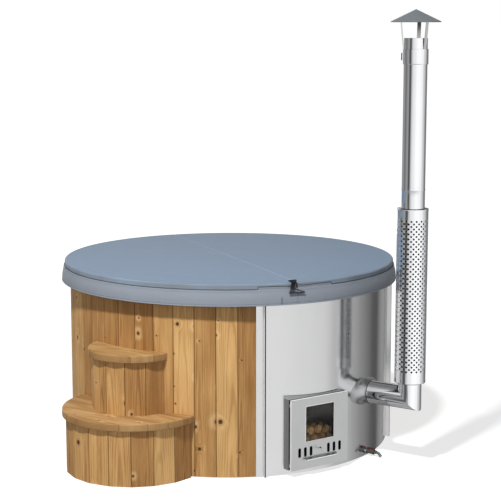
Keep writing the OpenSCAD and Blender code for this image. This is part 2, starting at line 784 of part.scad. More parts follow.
module drain_valve() color("dimgray") facing(drain_angle) difference() {
    union() {
        outwards(drain_h) translate([0, 0, tub_r + 4 + fit]) cylinder(d = drain_d, h = 46);
        for (z = [4 + fit, 40]) outwards(drain_h) translate([0, 0, tub_r + z])
            cylinder(d = drain_d + 5, h = 10, $fn = 6);
        translate([0, -tap_rho, drain_h]) cylinder(r = 7, h = tap_z - drain_h - fit);
        translate([0, -tap_rho, drain_h]) cylinder(r = stem_r, h = tap_z + 7 - drain_h);
    }
    outwards(drain_h) translate([0, 0, tub_r]) cylinder(d = spout_d - 4, h = 60);
}

module drain_handle() color("firebrick") facing(drain_angle) translate([0, -tap_rho, tap_z]) difference() {
    union() {
        cylinder(r = 8, h = 6);
        linear_extrude(5) for (s = [-1, 1]) {
            translate([-3.5, s > 0 ? 0 : -tap_l / 2 + 5]) square([7, tap_l / 2 - 5]);
            translate([0, s * (tap_l / 2 - 5)]) circle(r = 5);
        }
    }
    translate([0, 0, -past]) cylinder(r = stem_r + pin_slack, h = 8);
}

spout_bend = 30;
spout_turn = 50;
spout_end = 12;
spout_start = tub_r + 50 + 2 * fit;

// Bent spout with a collar where it leaves the tap and a plain end for a hose.
module drain_spout() color("gray") facing(drain_angle) translate([0, -spout_start - 10, drain_h]) {
    outwards(0) translate([0, 0, -10]) difference() {
        cylinder(d = spout_d + 4, h = 11);
        translate([0, 0, -past]) cylinder(d = spout_d - 4, h = 13);
    }
    translate([0, 0, -spout_bend]) {
        rotate([0, -90, 0]) rotate([0, 0, -spout_turn]) rotate_extrude(angle = spout_turn)
            translate([spout_bend, 0]) difference() {
                circle(d = spout_d - 1);
                circle(d = spout_d - 5);
            }
        rotate([spout_turn, 0, 0]) translate([0, 0, spout_bend]) outwards(0)
            translate([0, 0, -past]) difference() {
                cylinder(d = spout_d, h = spout_end + past);
                translate([0, 0, -past]) cylinder(d = spout_d - 4, h = spout_end + 3 * past);
            }
    }
}

// ---- Stove door ----

// Upright slot outline with round ends.
module slot_outline(w, h) {
    square([w, h - w], center = true);
    for (s = [-1, 1]) translate([0, s * (h - w) / 2]) circle(d = w, $fn = 24);
}

// All air slots, cut through a plate from a depth inwards.
module air_slots(y, depth) for (s = [-1, 1], i = [0:2])
    translate([s * (slot_from + i * slot_pitch), y + depth, slot_z]) rotate([90, 0, 0])
        linear_extrude(depth) slot_outline(slot_w, slot_h);

module door_leaf() color("silver") at_stove() difference() {
    block(door_w, face_y, leaf_back, door_z, door_top);
    block(door_w - 2 * sheet_t, face_y + sheet_t, leaf_back + past, door_z + sheet_t, door_top - sheet_t);
    block(window_w, face_y - past, leaf_back, window_z, window_z + window_h);
    air_slots(face_y - past, sheet_t + 2 * past);
    translate([0, face_y + sheet_t + past, knob_z]) rotate([90, 90, 0])
        linear_extrude(sheet_t + 2 * past) slot_outline(2 * knob_r + 1, air_travel + 2 * knob_r + 1);
}

// Upright frame of four bars around an opening.
module picture_frame(w, h, bar, y0, y1, z_mid) difference() {
    block(w, y0, y1, z_mid - h / 2, z_mid + h / 2);
    block(w - 2 * bar, y0 - past, y1 + past, z_mid - h / 2 + bar, z_mid + h / 2 - bar);
}

door_mid = door_z + door_h / 2;
glass_mid = window_z + window_h / 2;

module door_inner_frame() color("gray") at_stove()
    picture_frame(neck_w, neck_h, sheet_t, face_y + sheet_t, neck_back, door_mid);

module door_glass() color("black", 0.5) at_stove()
    block(window_w + 20, face_y + sheet_t + fit, face_y + sheet_t + fit + glass_t,
        window_z - 10, window_z + window_h + 10);

module glass_retainer() color("dimgray") at_stove()
    picture_frame(window_w + 44, window_h + 44, 20, face_y + sheet_t + 2 * fit + glass_t,
        face_y + sheet_t + 2 * fit + glass_t + 2, glass_mid);

module door_seal() color("black") at_stove()
    picture_frame(neck_w + 4, neck_h + 4, 10, neck_back + fit, front_y - fit, door_mid);

// Bent plate that tapers to its front edge and ends in a rolled lip.
module door_handle() color("silver")
at_stove() translate([0, face_y - fit, door_z + handle_up]) intersection() {
    union() {
        translate([-handle_w / 2, 0, 0]) rotate([90, 0, 90]) linear_extrude(handle_w)
            polygon([[0, -14], [-2, -14], [-2, -2], [3 - handle_out, -9],
                     [3 - handle_out, -6.5], [-1.5, 0.5], [0, 0.5]]);
        translate([-handle_w / 2, 3 - handle_out, -8]) rotate([0, 90, 0]) cylinder(r = 3.2, h = handle_w, $fn = 32);
    }
    translate([0, 0, -door_h]) linear_extrude(2 * door_h) polygon([
        [-handle_w / 2, 1], [handle_w / 2, 1], [handle_w / 2, -4],
        [handle_w / 2 - 17, -handle_out - 4], [-handle_w / 2 + 17, -handle_out - 4], [-handle_w / 2, -4]]);
}

hinge_heights = [door_z + hinge_up, door_top - hinge_up - 2 * ear_t];

module ear(y0, y1, z, hole_r) difference() {
    union() {
        translate([hinge_x, hinge_y, z]) cylinder(r = ear_r, h = ear_t);
        translate([-door_w / 2 + sheet_t + fit, y0, z]) cube([ear_w, y1 - y0, ear_t]);
    }
    translate([hinge_x, hinge_y, z - past]) cylinder(r = hole_r, h = ear_t + 2 * past);
}

module frame_hinge_ears() color("gray") at_stove()
    for (z = hinge_heights) ear(hinge_y, front_y - fit, z, pin_r + 0.01);

module door_hinge_ears() color("gray") at_stove()
    for (z = hinge_heights) ear(face_y + sheet_t, hinge_y, z + ear_t + fit, pin_r + pin_slack);

module hinge_pins() color("black") at_stove() for (z = hinge_heights) {
    translate([hinge_x, hinge_y, z - 3]) cylinder(r = pin_r, h = 2 * ear_t + 7);
    translate([hinge_x, hinge_y, z - 4]) cylinder(r = pin_r + 1, h = 4 - fit);
}

module slide_guides() color("gray") at_stove() for (s = [-1, 1])
    translate([-slide_w / 2, face_y + sheet_t, slot_z + s * (slide_h / 2 + fit)]) rotate([90, 0, 90])
        linear_extrude(slide_w) polygon([for (p = [[0, 0], [slide_t + 2 * fit, 0], [slide_t + 2 * fit, -6],
            [slide_t + 2 * fit + 1.5, -6], [slide_t + 2 * fit + 1.5, 4], [0, 4]]) [p.x, s * p.y]]);

module air_slide() color("gray") at_stove() difference() {
    block(slide_w, slide_y, slide_y + slide_t, slot_z - slide_h / 2, slot_z + slide_h / 2);
    air_slots(slide_y - past, slide_t + 2 * past);
}

module air_knob() color("silver") at_stove() translate([-air_travel / 2, slide_y, 0]) outwards(knob_z) {
    cylinder(r = knob_r, h = slide_y - face_y + knob_out, $fn = 32);
    translate([0, 0, slide_y - face_y + knob_out]) sphere(d = knob_d, $fn = 32);
}

// ---- Cover ----

pad_path = [[0, pad_top], [pad_r, pad_top], [pad_r, pad_z + skirt_lap + 3], [pad_r - pad_draw, pad_z]];

// Half of the cover on one side of the fold: -1 is left and 1 is right. The
// upper edge along the fold is rounded, which leaves a soft groove.
module half_of(side) facing(fold_angle) intersection() {
    children();
    translate([0, far / 2, 0]) rotate([90, 0, 0]) linear_extrude(far) polygon([for (p = concat(
        [[far, 0], [fold_gap / 2, 0]],
        [for (a = [0:15:90]) [fold_gap / 2 + fold_round * (1 - cos(a)), pad_top - fold_round * (1 - sin(a))]],
        [[fold_gap / 2 + fold_round, far], [far, far]])) [side * p.x, p.y]]);
}

module cover_pad(side) half_of(side) rotate_extrude()
    polygon(concat(rounded_path(pad_path, [pad_round, 2], 0), [[0, pad_z]]));

module cover_pad_left() color("lightslategray") cover_pad(-1);
module cover_pad_right() color("lightslategray") cover_pad(1);

skirt_in = pad_r - pad_draw * 0.15 + fit;
skirt_out = skirt_in + skirt_t;
skirt_knee = [skirt_out + skirt_flare * 0.72, rim_h - skirt_drop * 0.45];
skirt_hem = [skirt_out + skirt_flare, rim_h - skirt_drop];

// The skirt hangs from the pad's edge and widens downwards in two slopes. Each
// half is cut from three panels.
module cover_skirt(side) difference() {
    half_of(side) rotate_extrude() polygon([
        [skirt_in, skirt_top - 1], [skirt_in + 1, skirt_top + 1],
        [skirt_out - 1, skirt_top + 1], [skirt_out, skirt_top - 1],
        skirt_knee, skirt_hem, skirt_hem - [skirt_t, 0], skirt_knee - [skirt_t, 0], [skirt_in, pad_z - 3]]);
    for (a = [60, 120]) facing(fold_angle + side * a)
        block(skirt_seam, -pad_r - 60, -pad_r + 40, 0, fold_axis_z);
}

slit_turn = -5.2;                       // relief slit, left of the fold

module cover_skirt_left() color("slategray") difference() {
    cover_skirt(-1);
    facing(fold_angle + slit_turn) block(2, -pad_r - 60, -pad_r + 40, 0, rim_h - skirt_drop + 46);
}

module cover_skirt_right() color("slategray") cover_skirt(1);

flap_turn = 12.8;                       // how far a flap runs from the fold

// Narrow flap that covers the end of the fold on the cover's edge.
module cover_flap(from, to) arc_band(pad_r + fit + 1.5, 1.5, skirt_top + 3, pad_top - pad_round - 1, from, to);

module cover_flap_left() color("slategray") cover_flap(fold_angle - flap_turn, fold_angle - 2.8);
module cover_flap_right() color("slategray") cover_flap(fold_angle + 2.8, fold_angle + flap_turn);

loop_t = 5;
loop_back = skirt_out + 9.8;
strap_end = loop_back - strap_t - 2 * fit;
strap_path = [[pad_r - 62, pad_top], [pad_r, pad_top], [pad_r, skirt_top + 13], [strap_end, skirt_top + 3],
              [strap_end, skirt_top - 7]];

// Strap that is sewn to the left half and hangs over its edge.
module cover_strap() color("black") facing(fold_angle) {
    translate([strap_x + strap_w / 2, 0, 0]) rotate([90, 0, -90]) linear_extrude(strap_w)
        polygon(sheet_outline(strap_path, [pad_round, 4, 6], fit, fit + strap_t));
    translate([strap_x + 4, -pad_r + 50, pad_top + fit])
        cylinder(r1 = strap_w / 2 + 7, r2 = strap_w / 2 + 3, h = strap_t + 2);
}

// Three-cornered pull loop in front of the skirt.
module cover_pull_loop() color("black") facing(fold_angle)
    translate([0, -loop_back, skirt_top]) rotate([90, 0, 0]) linear_extrude(loop_t) difference() {
        polygon([[-50, -24], [37, -24], [37, -18], [strap_x + 12, 2], [strap_x - 12, 2], [-50, -18]]);
        polygon([[-40, -18], [24, -18], [strap_x + 8, -4], [strap_x - 8, -4]]);
    }

// ---- Steps ----

module clear_of_drum() difference() {
    children();
    cylinder(r = tub_r + step_gap, h = rim_h, $fn = wide_fn);
}

module step_risers(corner_r, turn, count, z0, z1) clear_of_drum() at_steps()
    for (i = [0:count - 1]) facing((i - (count - 1) / 2) * turn) stave(corner_r, turn, z0, z1);

// Solid of a whole tread, round with softened edges.
module tread_disc(r, top) {
    path = [[0, top], [r, top], [r, top - tread_t], [0, top - tread_t]];
    rotate_extrude() polygon(rounded_path(path, [tread_round, tread_round / 2], 0));
}

module step_tread(r, top) clear_of_drum() at_steps() {
    seams = [for (y = [-r + first_board:tread_w:0]) y];
    cuts = concat([-r - past], seams, [tub_d / 4]);
    for (i = [0:len(cuts) - 2]) if (cuts[i] < -step_in - 20) intersection() {
        tread_disc(r, top);
        translate([-r, cuts[i] + board_gap / 2, 0])
            cube([2 * r, (cuts[i + 1] > -step_in - 20 ? tub_d / 4 : cuts[i + 1]) - cuts[i] - board_gap, rim_h]);
    }
}

module step_plate(r, z) clear_of_drum() at_steps() translate([0, 0, z]) cylinder(r = r, h = plate_t);

low_inner = low_r * cos(low_pitch / 2) - board_t - fit;
high_inner = high_r * cos(high_pitch / 2) - board_t - fit;

module step_lower_risers() color("peru") step_risers(low_r, low_pitch, low_boards, 0, low_h - tread_t - fit);
module step_lower_tread() color("tan") step_tread(low_r + nosing, low_h);
module step_lower_plates() color("burlywood")
    for (z = [20, low_h - tread_t - plate_t - fit]) step_plate(low_inner, z);
module step_upper_risers() color("peru")
    step_risers(high_r, high_pitch, high_boards, low_h + fit, high_h - tread_t - fit);
module step_upper_tread() color("tan") step_tread(high_r + nosing, high_h);
module step_upper_plates() color("burlywood")
    for (z = [low_h + fit, high_h - tread_t - plate_t - fit]) step_plate(high_inner, z);

base_skids();
base_joists();
frame_hoops();
frame_posts();
cladding_boards();
tub_shell();
floor_drain_grate();
steel_panel();
panel_trims();
panel_rails();
stove_surround();
firebox();
firebox_stand();
fire_grate();
ash_tray();
firewood();
smoke_box();
circulation_pipes();
circulation_grilles();
flue_stub();
flue_elbow();
flue_pipe_lower();
flue_pipe_upper();
cap_clamp_band();
cap_legs();
rain_cap();
heat_guard();
guard_spacers();
drain_pipe();
drain_valve();
drain_handle();
drain_spout();
door_leaf();
door_inner_frame();
door_glass();
glass_retainer();
door_seal();
door_handle();
door_hinge_ears();
frame_hinge_ears();
hinge_pins();
slide_guides();
air_slide();
air_knob();
cover_pad_left();
cover_pad_right();
cover_skirt_left();
cover_skirt_right();
cover_flap_left();
cover_flap_right();
cover_strap();
cover_pull_loop();
step_lower_risers();
step_lower_tread();
step_lower_plates();
step_upper_risers();
step_upper_tread();
step_upper_plates();
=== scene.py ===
"""The wooden hot tub, dressed: its finishes, padded cover, perforated heat guard, stage and camera."""

import json
import logging
import math
from dataclasses import dataclass, field
from enum import Enum
from typing import Any, Callable, Sequence

import bmesh
import bpy
from mathutils import Matrix, Vector, noise


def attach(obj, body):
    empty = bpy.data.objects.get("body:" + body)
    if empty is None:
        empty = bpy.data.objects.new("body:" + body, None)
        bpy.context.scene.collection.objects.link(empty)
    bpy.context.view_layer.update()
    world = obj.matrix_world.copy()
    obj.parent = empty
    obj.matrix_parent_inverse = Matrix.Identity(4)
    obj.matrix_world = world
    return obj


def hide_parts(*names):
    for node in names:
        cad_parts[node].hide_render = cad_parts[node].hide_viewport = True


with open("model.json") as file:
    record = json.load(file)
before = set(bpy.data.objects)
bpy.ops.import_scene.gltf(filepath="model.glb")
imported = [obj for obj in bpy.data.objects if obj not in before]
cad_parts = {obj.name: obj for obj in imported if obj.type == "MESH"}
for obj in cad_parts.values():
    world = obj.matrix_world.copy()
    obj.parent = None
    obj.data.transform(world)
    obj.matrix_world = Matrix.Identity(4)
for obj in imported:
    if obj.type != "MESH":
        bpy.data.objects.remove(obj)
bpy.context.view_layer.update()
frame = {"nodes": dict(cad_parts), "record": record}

log = logging.getLogger("hot_tub")

Point = tuple[float, float, float]
Colour = tuple[float, float, float]
Socket = bpy.types.NodeSocket

# Directions in degrees from the tub's front towards its right side, then a distance and heights in metres.
FOLD_TURN = 21.8
DOOR_TURN = 33.6
FLUE_TURN = 55.0
STEP_TURN = -36.5
PANEL_START = 10.0
PANEL_END = 82.0
FLUE_AXIS = 1.168
# Heights between which the lower flue pipe is darkened, as heat tarnish and painted shade.
TARNISH_AND_SHADE = (0.458, 1.374)
WHITE = (1.0, 1.0, 1.0, 1.0)


# ---------------------------------------------------------------- small helpers


def linear(value: float) -> float:
    """Turn one display value from 0 to 255 into scene light."""
    v = value / 255.0
    return v / 12.92 if v <= 0.04045 else ((v + 0.055) / 1.055) ** 2.4


def tone(red: float, green: float, blue: float) -> Colour:
    """Give a display colour, 0 to 255 each, as a scene colour."""
    return (linear(red), linear(green), linear(blue))


def four(colour: Colour) -> tuple[float, float, float, float]:
    """Add a full alpha to a colour."""
    return (*colour, 1.0)


def greys(*stops: tuple[float, float]) -> list[tuple[float, Colour]]:
    """Give the stops of a ramp that is grey all along, from places and levels."""
    return [(at, (level,) * 3) for at, level in stops]


def turns(count: int, shift: float = 0.0) -> list[float]:
    """Divide a full turn into equal angles, moved on by a share of one."""
    return [2.0 * math.pi * (k + shift) / count for k in range(count)]


def facing(degrees: float) -> Matrix:
    """Turn about the tub's axis, so that the local front looks in that direction."""
    return Matrix.Rotation(math.radians(degrees), 4, "Z")


def new_piece(name: str, mesh: bpy.types.Mesh) -> bpy.types.Object:
    """Put a mesh into the scene as an object at the origin."""
    piece = bpy.data.objects.new(name, mesh)
    bpy.context.scene.collection.objects.link(piece)
    return piece


def mesh_of(name: str, points: Sequence[Sequence[float]], faces: Sequence[Sequence[int]]) -> bpy.types.Mesh:
    """Make a mesh whose faces all look outwards.

    Args:
        name: the mesh's name.
        points: its corners, in metres.
        faces: the corner numbers of each face.

    Returns:
        The mesh, merged, with any slit closed and its normals recalculated.
    """
    mesh = bpy.data.meshes.new(name)
    mesh.from_pydata([tuple(p) for p in points], [], [tuple(f) for f in faces])
    work = bmesh.new()
    work.from_mesh(mesh)
    bmesh.ops.remove_doubles(work, verts=work.verts, dist=1e-6)
    slit = [edge for edge in work.edges if edge.is_boundary]
    if slit:
        bmesh.ops.holes_fill(work, edges=slit, sides=0)
    bmesh.ops.recalc_face_normals(work, faces=work.faces)
    work.to_mesh(mesh)
    work.free()
    return mesh


class Skin:
    """A closed mesh while it is being built from rows of points."""

    def __init__(self) -> None:
        """Start without points."""
        self.points: list[Sequence[float]] = []
        self.faces: list[tuple[int, ...]] = []

    def add(self, rows: Sequence[Sequence[Sequence[float]]], ring: bool = False,
            middles: Sequence[Sequence[float]] = ()) -> "Skin":
        """Skin rows of equally many points, each row closed in itself.

        Args:
            rows: the rows, in metres.
            ring: whether the last row joins the first one, so that there are no ends.
            middles: points from which the first and last row are filled, or none for flat ends.

        Returns:
            The skin itself.
        """
        start, count = len(self.points), len(rows[0])
        self.points += [point for row in rows for point in row]
        firsts = [start + i * count for i in range(len(rows))]
        for here, there in zip(firsts, firsts[1:] + firsts[:1] if ring else firsts[1:]):
            for j in range(count):
                k = (j + 1) % count
                self.faces.append((here + j, here + k, there + k, there + j))
        for first, middle in zip((firsts[0], firsts[-1]), middles):
            self.points.append(middle)
            self.faces += [(first + j, first + (j + 1) % count, len(self.points) - 1) for j in range(count)]
        if not ring and not middles:
            self.faces += [tuple(range(first, first + count)) for first in (firsts[0], firsts[-1])]
        return self

    def mesh(self, name: str, degrees: float = 0.0) -> bpy.types.Mesh:
        """Give the mesh, shaded smooth up to an angle where one is given."""
        mesh = mesh_of(name, self.points, self.faces)
        if degrees:
            soften(mesh, degrees)
        return mesh


def cordage(name: str, path: Sequence[Vector], radius: float) -> bpy.types.Mesh:
    """Run a thin six-sided bead along a path that follows the drum.

    Args:
        name: the mesh's name.
        path: the points along the bead's middle.
        radius: the bead's radius.

    Returns:
        The closed bead.
    """
    rows, last = [], len(path) - 1
    for i, at in enumerate(path):
        ahead = (path[min(i + 1, last)] - path[max(i - 1, 0)]).normalized()
        out = Vector((at.x, at.y, 0.0)).normalized()
        out = (out - ahead * out.dot(ahead)).normalized()
        up = ahead.cross(out)
        rows.append([at + (out * math.cos(a) + up * math.sin(a)) * radius for a in turns(6)])
    return Skin().add(rows).mesh(name, 60.0)


def soften(mesh: bpy.types.Mesh, degrees: float) -> None:
    """Shade a mesh smooth, and keep the edges sharp that turn by more than an angle."""
    for polygon in mesh.polygons:
        polygon.use_smooth = True
    mesh.set_sharp_from_angle(angle=math.radians(degrees))


def ripple(x: float, y: float, seed: float) -> float:
    """Smooth noise from -1 to 1 at a point of a plane."""
    return noise.noise(Vector((x, y, seed)))


# ---------------------------------------------------------------- drawing a finish


class Network:
    """A node tree while it is being drawn up."""

    def __init__(self, tree: bpy.types.NodeTree) -> None:
        """Take up a tree."""
        self.tree = tree

    def node(self, kind: str, inputs: dict[Any, Any], out: Any = 0, **settings: Any) -> Socket:
        """Add a node.

        Args:
            kind: its type.
            inputs: sockets or plain values, by the input's name or number.
            out: the wanted output.
            **settings: the node's own options.

        Returns:
            The output socket.
        """
        made = self.tree.nodes.new(kind)
        for key, value in settings.items():
            setattr(made, key, value)
        for key, value in inputs.items():
            self.feed(made.inputs[key], value)
        return made.outputs[out]

    def feed(self, socket: Socket, value: Any) -> None:
        """Link a socket, or set it where the value is plain."""
        if isinstance(value, bpy.types.NodeSocket):
            self.tree.links.new(value, socket)
        else:
            socket.default_value = value

    def sum(self, operation: str, a: Any, b: Any = 0.0, c: Any = 0.0, clamp: bool = False) -> Socket:
        """Do a sum on single values, such as ADD, MULTIPLY or MODULO."""
        return self.node("ShaderNodeMath", {0: a, 1: b, 2: c}, operation=operation, use_clamp=clamp)

    def plus(self, a: Any, b: Any, clamp: bool = False) -> Socket:
        """Add two values."""
        return self.sum("ADD", a, b, clamp=clamp)

    def minus(self, a: Any, b: Any) -> Socket:
        """Take the second value from the first."""
        return self.sum("SUBTRACT", a, b)

    def times(self, a: Any, b: Any) -> Socket:
        """Multiply two values."""
        return self.sum("MULTIPLY", a, b)

    def length(self, a: Any, b: Any) -> Socket:
        """Give the length of a line that runs so far along two axes."""
        return self.sum("SQRT", self.plus(self.times(a, a), self.times(b, b)))

    def split(self, vector: Any) -> tuple[Socket, Socket, Socket]:
        """Give the three parts of a vector."""
        made = self.tree.nodes.new("ShaderNodeSeparateXYZ")
        self.feed(made.inputs[0], vector)
        return made.outputs[0], made.outputs[1], made.outputs[2]

    def join(self, x: Any, y: Any, z: Any) -> Socket:
        """Make a vector of three parts."""
        return self.node("ShaderNodeCombineXYZ", {0: x, 1: y, 2: z})

    def noise(self, vector: Any, detail: float = 2.0, rough: float = 0.5) -> Socket:
        """Give soft noise from 0 to 1 at a vector whose unit is one blotch."""
        return self.node("ShaderNodeTexNoise", {"Vector": vector, "Scale": 1.0, "Detail": detail,
                                                "Roughness": rough}, "Fac")

    def chance(self, number: Any) -> tuple[Socket, Socket, Socket]:
        """Give three random values from 0 to 1 for a whole number."""
        return self.split(self.node("ShaderNodeTexWhiteNoise", {"W": number}, "Color", noise_dimensions="1D"))

    def ramp(self, value: Any, stops: Sequence[tuple[float, Colour]], smooth: bool = False) -> Socket:
        """Turn a value into a colour by stops."""
        made = self.tree.nodes.new("ShaderNodeValToRGB")
        band = made.color_ramp
        band.interpolation = "EASE" if smooth else "LINEAR"
        while len(band.elements) < len(stops):
            band.elements.new(0.5)
        for element, (at, colour) in zip(band.elements, stops):
            element.position = at
            element.color = four(colour)
        self.feed(made.inputs[0], value)
        return made.outputs[0]

    def mix(self, share: Any, first: Any, second: Any) -> Socket:
        """Mix two colours, drawn or plain."""
        first, second = (four(c) if isinstance(c, tuple) and len(c) == 3 else c for c in (first, second))
        return self.node("ShaderNodeMix", {0: share, 6: first, 7: second}, 2, data_type="RGBA")

    def between(self, value: Any, low: float, high: float, start: float = 0.0, end: float = 1.0,
                smooth: bool = True) -> Socket:
        """Map a value from one range to another, held at both ends."""
        return self.node("ShaderNodeMapRange", {0: value, 1: low, 2: high, 3: start, 4: end},
                         interpolation_type="SMOOTHSTEP" if smooth else "LINEAR")


class Shader(Network):
    """A procedural material while it is being drawn up."""

    def __init__(self, name: str) -> None:
        """Start an empty material with one surface shader."""
        self.material = bpy.data.materials.new(name)
        self.material.use_nodes = True
        super().__init__(self.material.node_tree)
        self.tree.nodes.clear()
        self.surface = self.tree.nodes.new("ShaderNodeBsdfPrincipled")
        self.out = self.tree.nodes.new("ShaderNodeOutputMaterial")
        self.tree.links.new(self.surface.outputs["BSDF"], self.out.inputs["Surface"])
        self.place = self.node("ShaderNodeTexCoord", {}, "Object")

    def turned(self, centre: tuple[float, float], degrees: float) -> Socket:
        """Give the place on the piece, from a centre and turned about the upright axis."""
        return self.node("ShaderNodeMapping", {"Vector": self.place, "Location": (*centre, 0.0),
                                               "Rotation": (0.0, 0.0, math.radians(degrees))},
                         vector_type="TEXTURE")

    def blotches(self, number: Point, detail: float = 2.0, rough: float = 0.5) -> Socket:
        """Give soft noise from 0 to 1 with so many blotches to the metre on each axis."""
        spread = self.node("ShaderNodeVectorMath", {0: self.place, 1: number}, operation="MULTIPLY")
        return self.noise(spread, detail, rough)

    def relief(self, height: Any, depth: float, strength: float = 1.0) -> None:
        """Raise the surface by a height from 0 to 1, in metres of depth."""
        self.feed(self.surface.inputs["Normal"],
                  self.node("ShaderNodeBump", {"Height": height, "Distance": depth, "Strength": strength}))

    def dress(self, **sockets: Any) -> bpy.types.Material:
        """Set the surface's sockets, with _ for a space, and give the material."""
        for key, value in sockets.items():
            self.feed(self.surface.inputs[key.replace("_", " ")], value)
        return self.material


class Layout(Enum):
    """How boards lie beside each other."""

    ROUND = "upright boards round an upright axis"
    ACROSS = "level boards side by side"
    BEAM = "one beam after another"


@dataclass(frozen=True)
class Timber:
    """Planed softwood with growth rings, knots, a tone of its own on each board and painted shade along the joints."""

    name: str
    pale: Colour = tone(224, 181, 120)
    middle: Colour = tone(190, 145, 90)
    deep: Colour = tone(148, 103, 57)
    knot: Colour = tone(58, 34, 20)
    bright: Colour = tone(240, 204, 150)
    # Strength of the darkening at the joints, which is partly the dark gap and partly painted shade.
    joint: float = 0.55
    layout: Layout = Layout.ROUND
    centre: tuple[float, float] = (0.0, 0.0)
    turn: float = 0.0
    radius: float = 0.9
    pitch: float = 7.2
    start: float = 10.0
    around: int = 50
    knots: float = 0.42
    seed: float = 0.0

    def material(self) -> bpy.types.Material:
        """Draw the wood."""
        s = Shader(self.name)
        x, y, z = s.split(s.turned(self.centre, self.turn))
        if self.layout is Layout.ROUND:
            angle = s.times(s.sum("ARCTAN2", x, s.times(y, -1.0)), 180.0 / math.pi)
            steps = s.sum("DIVIDE", s.minus(angle, self.start), self.pitch)
            width = self.radius * math.radians(self.pitch)
            deep = s.minus(self.radius, s.length(x, y))
            along = z
        elif self.layout is Layout.ACROSS:
            steps = s.sum("DIVIDE", s.minus(y, self.start), self.pitch)
            width = self.pitch
            deep = s.minus(0.7, z)
            along = x
        else:
            steps = s.sum("DIVIDE", s.minus(s.plus(x, y), self.start), self.pitch)
            width = self.pitch
            deep = s.plus(0.3, s.times(z, 0.3))
            along = s.minus(x, y)
        board = s.sum("FLOOR", steps)
        across = s.times(s.minus(s.minus(steps, board), 0.5), width)
        number = s.plus(s.sum("WRAP", board, float(self.around), 0.0), self.seed)
        one, two, three = s.chance(number)

        shifted = s.plus(along, s.times(one, 17.0))
        cell = s.join(s.plus(s.sum("DIVIDE", across, 0.115), s.plus(s.times(number, 7.0), 0.5)),
                      s.sum("DIVIDE", shifted, 0.125), 0.0)
        near = s.node("ShaderNodeTexVoronoi", {"Vector": cell, "Randomness": 0.8, "Scale": 1.0}, "Distance",
                      voronoi_dimensions="2D")
        red, green, _blue = s.split(near.node.outputs["Color"])
        there = s.between(red, self.knots, self.knots + 0.02, 1.0, 0.0)
        size = s.between(s.sum("POWER", green, 2.0), 0.0, 1.0, 0.028, 0.1, smooth=False)
        away = s.sum("DIVIDE", near, size)
        core = s.times(s.between(away, 0.8, 1.25, 1.0, 0.0), there)
        halo = s.times(s.between(away, 1.1, 2.6, 1.0, 0.0), there)
        swell = s.times(s.between(away, 0.0, 4.5, 1.0, 0.0), there)

        wander = s.noise(s.join(s.times(across, 14.0), s.times(shifted, 1.7), number), 3.0)
        side = s.minus(across, s.times(s.minus(two, 0.5), 0.1))
        under = s.plus(deep, s.sum("MULTIPLY_ADD", three, 0.05, 0.012))
        ring = s.length(side, under)
        ring = s.plus(ring, s.times(shifted, s.sum("MULTIPLY_ADD", one, 0.02, 0.004)))
        ring = s.plus(ring, s.times(wander, 0.016))
        ring = s.plus(ring, s.times(swell, 0.012))
        wave = s.sum("SINE", s.times(ring, 2.0 * math.pi / 0.0065))
        late = s.between(wave, -0.1, 1.0)
        fibre = s.noise(s.join(s.times(across, 700.0), s.times(shifted, 16.0),
                               s.times(deep, 700.0)), 2.0, 0.6)
        streak = s.noise(s.join(s.times(across, 46.0), s.times(shifted, 2.6), number), 3.0, 0.6)
        patch = s.noise(s.join(s.times(across, 10.0), s.times(shifted, 3.1),
                               s.times(number, 3.7)), 1.0)

        level = s.plus(s.times(three, 0.42), s.times(streak, 0.62))
        level = s.plus(level, s.times(s.minus(patch, 0.5), 0.5))
        level = s.minus(level, s.times(late, 0.2))
        level = s.plus(level, s.times(s.minus(fibre, 0.5), 0.28))
        level = s.plus(level, s.times(halo, 0.16), clamp=True)
        colour = s.ramp(level, [(0.08, self.deep), (0.46, self.middle), (0.86, self.pale)])
        flame = s.times(s.between(away, 2.0, 5.5, 1.0, 0.0), there)
        colour = s.mix(s.times(flame, s.between(wander, 0.45, 0.62, 0.0, 0.5)), colour, self.bright)
        colour = s.mix(s.times(s.minus(halo, core), 0.5), colour, tone(150, 92, 44))
        colour = s.mix(s.times(core, 0.94), colour, self.knot)
        # Painted shade: each board darkens towards its joints, partly the real dark gap and partly shade painted in
        # where the joint lies in shadow.
        edge = s.between(s.sum("ABSOLUTE", across), width / 2 - 0.0035, width / 2 - 0.0008)
        colour = s.mix(s.times(edge, self.joint), colour, tone(58, 36, 22))
        height = s.minus(s.times(fibre, 0.5), s.times(late, 0.5))
        s.relief(s.minus(height, s.times(core, 0.6)), 0.0004, 0.8)
        rough = s.plus(0.55, s.times(fibre, 0.2))
        return s.dress(Base_Color=colour, Roughness=rough, Specular_IOR_Level=0.32)


class Brush(Enum):
    """Which way the fine lines of a steel surface run, as their number to the metre on each axis."""

    LEVEL = (3.0, 3.0, 900.0)
    UPRIGHT = (800.0, 800.0, 4.0)
    NONE = (420.0, 420.0, 420.0)


@dataclass(frozen=True)
class Steel:
    """Stainless or painted steel with brushing, faint clouds and wear."""

    name: str
    colour: Colour
    rough: float
    brush: Brush = Brush.NONE
    lines: float = 0.3
    metal: float = 1.0
    cloud: float = 0.06
    dirt: Colour = tone(160, 158, 154)

    def material(self) -> bpy.types.Material:
        """Draw the metal."""
        s = Shader(self.name)
        fine = s.blotches(self.brush.value, 3.0, 0.65)
        cloud = s.blotches((7.0, 7.0, 4.0), 3.0)
        smear = s.blotches((26.0, 26.0, 9.0), 4.0)
        colour = s.mix(s.between(cloud, 0.35, 0.75, 0.0, self.cloud), self.colour, self.dirt)
        colour = s.mix(s.between(fine, 0.3, 0.8, 0.0, 0.12 * self.lines + 0.02), colour, self.dirt)
        rough = s.plus(self.rough - 0.05, s.times(smear, 0.1))
        rough = s.plus(rough, s.times(s.minus(fine, 0.5), 0.16 * self.lines))
        s.relief(fine, 0.00006, self.lines)
        return s.dress(Base_Color=colour, Roughness=rough, Metallic=self.metal)


